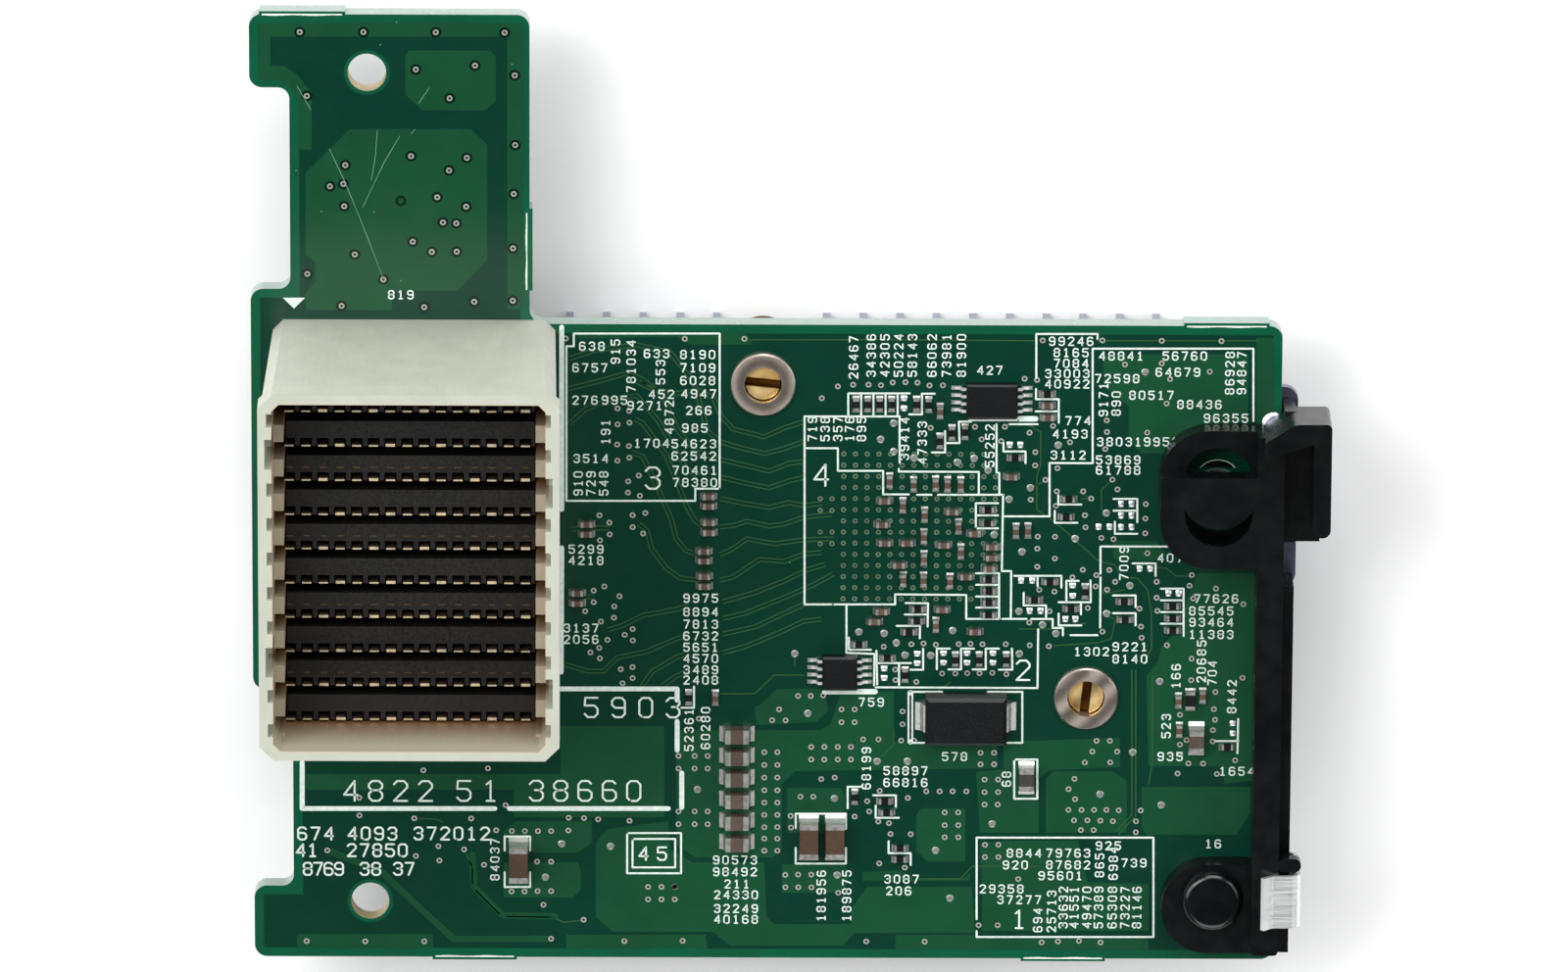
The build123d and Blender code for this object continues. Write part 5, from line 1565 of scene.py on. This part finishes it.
class CARD_OT_parts(bpy.types.Operator):
    """Finish the chips and other parts on both faces"""

    bl_idname = "card.parts"
    bl_label = "Electronic parts"

    def execute(self, context):
        # Fired ceramic: smooth and matt, its brown set by the mix it was fired from
        brown = moulded("fired_ceramic_brown", "#574335", "#4A382D", 0.5, 0.2)
        grey_brown = moulded("fired_ceramic_grey_brown", "#50443B", "#443930", 0.5, 0.3)
        dark_brown = moulded("fired_ceramic_dark_brown", "#46301F", "#3A281B", 0.5, 0.3)
        # Printed glass glaze: black and a little shiny
        black = moulded("glazed_resistor_black", "#0E0E11", "#09090B", 0.32, 0.2)
        # Transfer-moulded epoxy from a spark-eroded mould: dark grey with a fine even grain
        epoxy = moulded("moulded_epoxy_black", "#090C0F", "#07090B", 0.34, 0.15, 0.003)
        # Barrel-plated tin: a soft silver end that the solder wets
        tin = metal("barrel_plated_tin", "#D2D2CE", "#BABAB6", 0.42)
        # Dipped tin on a stamped lead: smooth and bright
        lead = metal("dipped_tin_lead", "#FBFBFA", "#EEEEEC", 0.5)
        # Ferrite and iron powder, pressed and fired: matt, fine grained and almost colourless
        ferrite = moulded("pressed_ferrite", "#34302E", "#2A2725", 0.6)
        powder = moulded("pressed_iron_powder", "#3F4043", "#36373A", 0.6)
        core = moulded("pressed_iron_core", "#4A4B4E", "#404144", 0.55)
        # Deep-drawn nickel silver: a mirror-like warm grey, softened by drawing lines
        can = metal("deep_drawn_nickel_can", "#C3C2BC", "#AFAEA8", 0.25)
        finish_nodes({
            "small_capacitors": brown, "bulk_capacitors": grey_brown, "large_capacitors": dark_brown,
            "chip_resistors": black, "ferrite_bead": ferrite,
            "small_capacitor_ends": tin, "bulk_capacitor_ends": tin, "large_capacitor_ends": tin,
            "chip_resistor_ends": tin, "ferrite_bead_ends": tin,
            "tantalum_capacitor": epoxy, "tantalum_terminals": lead, "rear_tantalums": epoxy,
            "rear_tantalum_terminals": tin, "upper_chip": epoxy, "lower_chip": epoxy, "memory_chip": epoxy,
            "upper_chip_leads": lead, "lower_chip_leads": lead, "memory_chip_leads": lead,
            "power_inductors": powder, "inductor_cores": core, "crystal_can": can,
        })
        return {"FINISHED"}


class CARD_OT_scratches(bpy.types.Operator):
    """Scratch the tab's mask, and bare the rims beside the bracket"""

    bl_idname = "card.scratches"
    bl_label = "Scratches and rims"

    def execute(self, context):
        marks = Sheet()
        for pixels in SCRATCHES:
            marks.stroke(course(pixels), SCRATCH_WIDTH, INK_LEVEL)
        for x, y in course(SPECKS):
            marks.disc(x, y, SPECK_RADIUS, INK_LEVEL, 8)
        # Scratched epoxy mask: the torn resin scatters light in a pale hair line
        make_piece("mask_scratches", marks, moulded("scratched_mask", "#6F9C86", "#4F8068", 0.6))
        rim = Sheet()
        rim.stroke(course(OPENING_ARC), ARC_WIDTH, INK_LEVEL)
        # Mask drawn back from a drilled hole: a thin pale rim of bare resin
        make_piece("bare_hole_rim", rim, moulded("bare_resin_rim", "#B9CBB0", "#9CB096", 0.35))
        # Painted shade: a flat black sheet on the board inside the arc, for the dark under the bracket in
        # its opening
        shade_sheet = Sheet()
        shade_sheet.face(course(OPENING_ARC)[::-1], PAD_LEVEL)
        make_piece("opening_shade_sheet", shade_sheet, bpy.data.materials["moulded_nylon_black"])
        dome = Sheet()
        dome.dome(*spot(*SIDE_RIVET), SIDE_RIVET_RADIUS, SIDE_RIVET_RISE, 0.0, 24)
        # Zinc-plated rivet head set in the board's edge: a cool bright crescent beside the hook
        head = metal("zinc_plated_rivet", "#E9ECFA", "#D5D9EC", 0.3)
        make_piece("side_rivet_head", dome, head, smooth=True)
        return {"FINISHED"}


class CARD_OT_rear(bpy.types.Operator):
    """Solder and print the rear face"""

    bl_idname = "card.rear"
    bl_label = "Rear face"

    def execute(self, context):
        joints = Sheet(rear=True)
        margin_x, margin_y = REAR_LEAD_MARGIN
        for node in ("rear_tantalum_terminals", "memory_chip_leads"):
            for low, high in islands(node):
                start = (low[0] - margin_x, low[1] - margin_y, 0.0)
                stop = (high[0] + margin_x, high[1] + margin_y, REAR_JOINT_RISE)
                joints.block(start, stop, REAR_JOINT_SLOPE)
        for node in ("power_inductors", "crystal_can"):
            for low, high in islands(node):
                for x in (low[0], high[0]):
                    start = (x - REAR_PAD_REACH, low[1] + REAR_PAD_INSET, 0.0)
                    stop = (x + REAR_PAD_REACH, high[1] - REAR_PAD_INSET, REAR_JOINT_RISE)
                    joints.block(start, stop, REAR_JOINT_SLOPE)
        ink = Sheet(rear=True)
        for node in ("rear_tantalums", "power_inductors", "crystal_can", "memory_chip"):
            for low, high in islands(node):
                left, front = low[0] - REAR_OUTLINE_GAP, low[1] - REAR_OUTLINE_GAP
                right, back = high[0] + REAR_OUTLINE_GAP, high[1] + REAR_OUTLINE_GAP
                corners = [(left, front), (right, front), (right, back), (left, back), (left, front)]
                ink.stroke(corners, size("ink_width"), INK_LEVEL)
        rings = Sheet(rear=True)
        holes = Sheet(rear=True)
        for x, y in via_places():
            rings.ring(x, y, size("via_hole") / 2, size("via_ring") / 2, PAD_LEVEL)
            holes.disc(x, y, size("via_hole") / 2, PAD_LEVEL, 12)
        # Wave-soldered tin: brighter and smoother than the front's
        tin = metal("wave_soldered_tin", "#D8D9D4", "#B9BBB5", 0.3)
        make_piece("rear_solder", joints, tin)
        make_piece("rear_printed_lines", ink, bpy.data.materials["screen_printed_ink"])
        make_piece("rear_via_rings", rings, tin)
        # The same discs of painted shade for the open via holes on the rear
        make_piece("rear_via_hole_shades", holes, bpy.data.materials["via_hole_painted_shade"])
        return {"FINISHED"}


class CARD_OT_stage(bpy.types.Operator):
    """Set the floor, the lights and the camera"""

    bl_idname = "card.stage"
    bl_label = "Stage"

    def execute(self, context):
        scene = context.scene
        scene.view_settings.view_transform = "Standard"
        bpy.ops.mesh.primitive_plane_add(size=FLOOR_SIZE, location=(0.0, 0.0, 0.0))
        floor = context.object
        floor.name = "floor"
        floor.data.materials.append(sheet_paper())
        studio = bpy.data.worlds.new("studio")
        studio.use_nodes = True
        background = studio.node_tree.nodes["Background"]
        background.inputs["Color"].default_value = (1.0, 1.0, 1.0, 1.0)
        background.inputs["Strength"].default_value = WORLD_STRENGTH
        scene.world = studio
        for name, place, width, power in LIGHTS:
            lamp = bpy.data.lights.new(name, "AREA")
            lamp.size = width
            lamp.energy = power
            holder = bpy.data.objects.new(name, lamp)
            holder.location = place
            holder.rotation_euler = Vector(place).to_track_quat("Z", "Y").to_euler()
            scene.collection.objects.link(holder)
        lens = bpy.data.cameras.new("camera")
        lens.sensor_width = SENSOR
        lens.lens = SENSOR * FOCAL_PIXELS / PHOTO_WIDTH
        lens.clip_end = VIEW_DEPTH
        camera = bpy.data.objects.new("camera", lens)
        spin = Matrix((CAMERA_RIGHT, CAMERA_UP, CAMERA_BACK)).transposed().to_4x4()
        camera.matrix_world = Matrix.Translation(world(*CAMERA_PLACE)) @ spin
        scene.collection.objects.link(camera)
        scene.camera = camera
        return {"FINISHED"}


STEPS = (
    CARD_OT_mask, CARD_OT_sawn_edges, CARD_OT_traces, CARD_OT_vias, CARD_OT_ball_grid,
    CARD_OT_bare_pads, CARD_OT_solder, CARD_OT_ink_lines, CARD_OT_ink_numbers, CARD_OT_connector,
    CARD_OT_hardware, CARD_OT_parts, CARD_OT_scratches, CARD_OT_rear, CARD_OT_stage,
)


class CARD_PT_panel(bpy.types.Panel):
    """Lists the card's settings and steps"""

    bl_idname = "CARD_PT_panel"
    bl_label = "Mezzanine card"
    bl_space_type = "VIEW_3D"
    bl_region_type = "UI"
    bl_category = "Mezzanine card"

    def draw(self, context):
        for name in CardSettings.__annotations__:
            self.layout.prop(context.scene.mezzanine_card, name)
        for step in STEPS:
            self.layout.operator(step.bl_idname)


def register():
    bpy.utils.register_class(CardSettings)
    bpy.types.Scene.mezzanine_card = bpy.props.PointerProperty(type=CardSettings)
    for step in STEPS:
        bpy.utils.register_class(step)
    bpy.utils.register_class(CARD_PT_panel)


def unregister():
    bpy.utils.unregister_class(CARD_PT_panel)
    for step in reversed(STEPS):
        bpy.utils.unregister_class(step)
    del bpy.types.Scene.mezzanine_card
    bpy.utils.unregister_class(CardSettings)


def main():
    register()
    for step in STEPS:
        family, name = step.bl_idname.split(".")
        getattr(getattr(bpy.ops, family), name)()


if __name__ == "__main__":
    main()
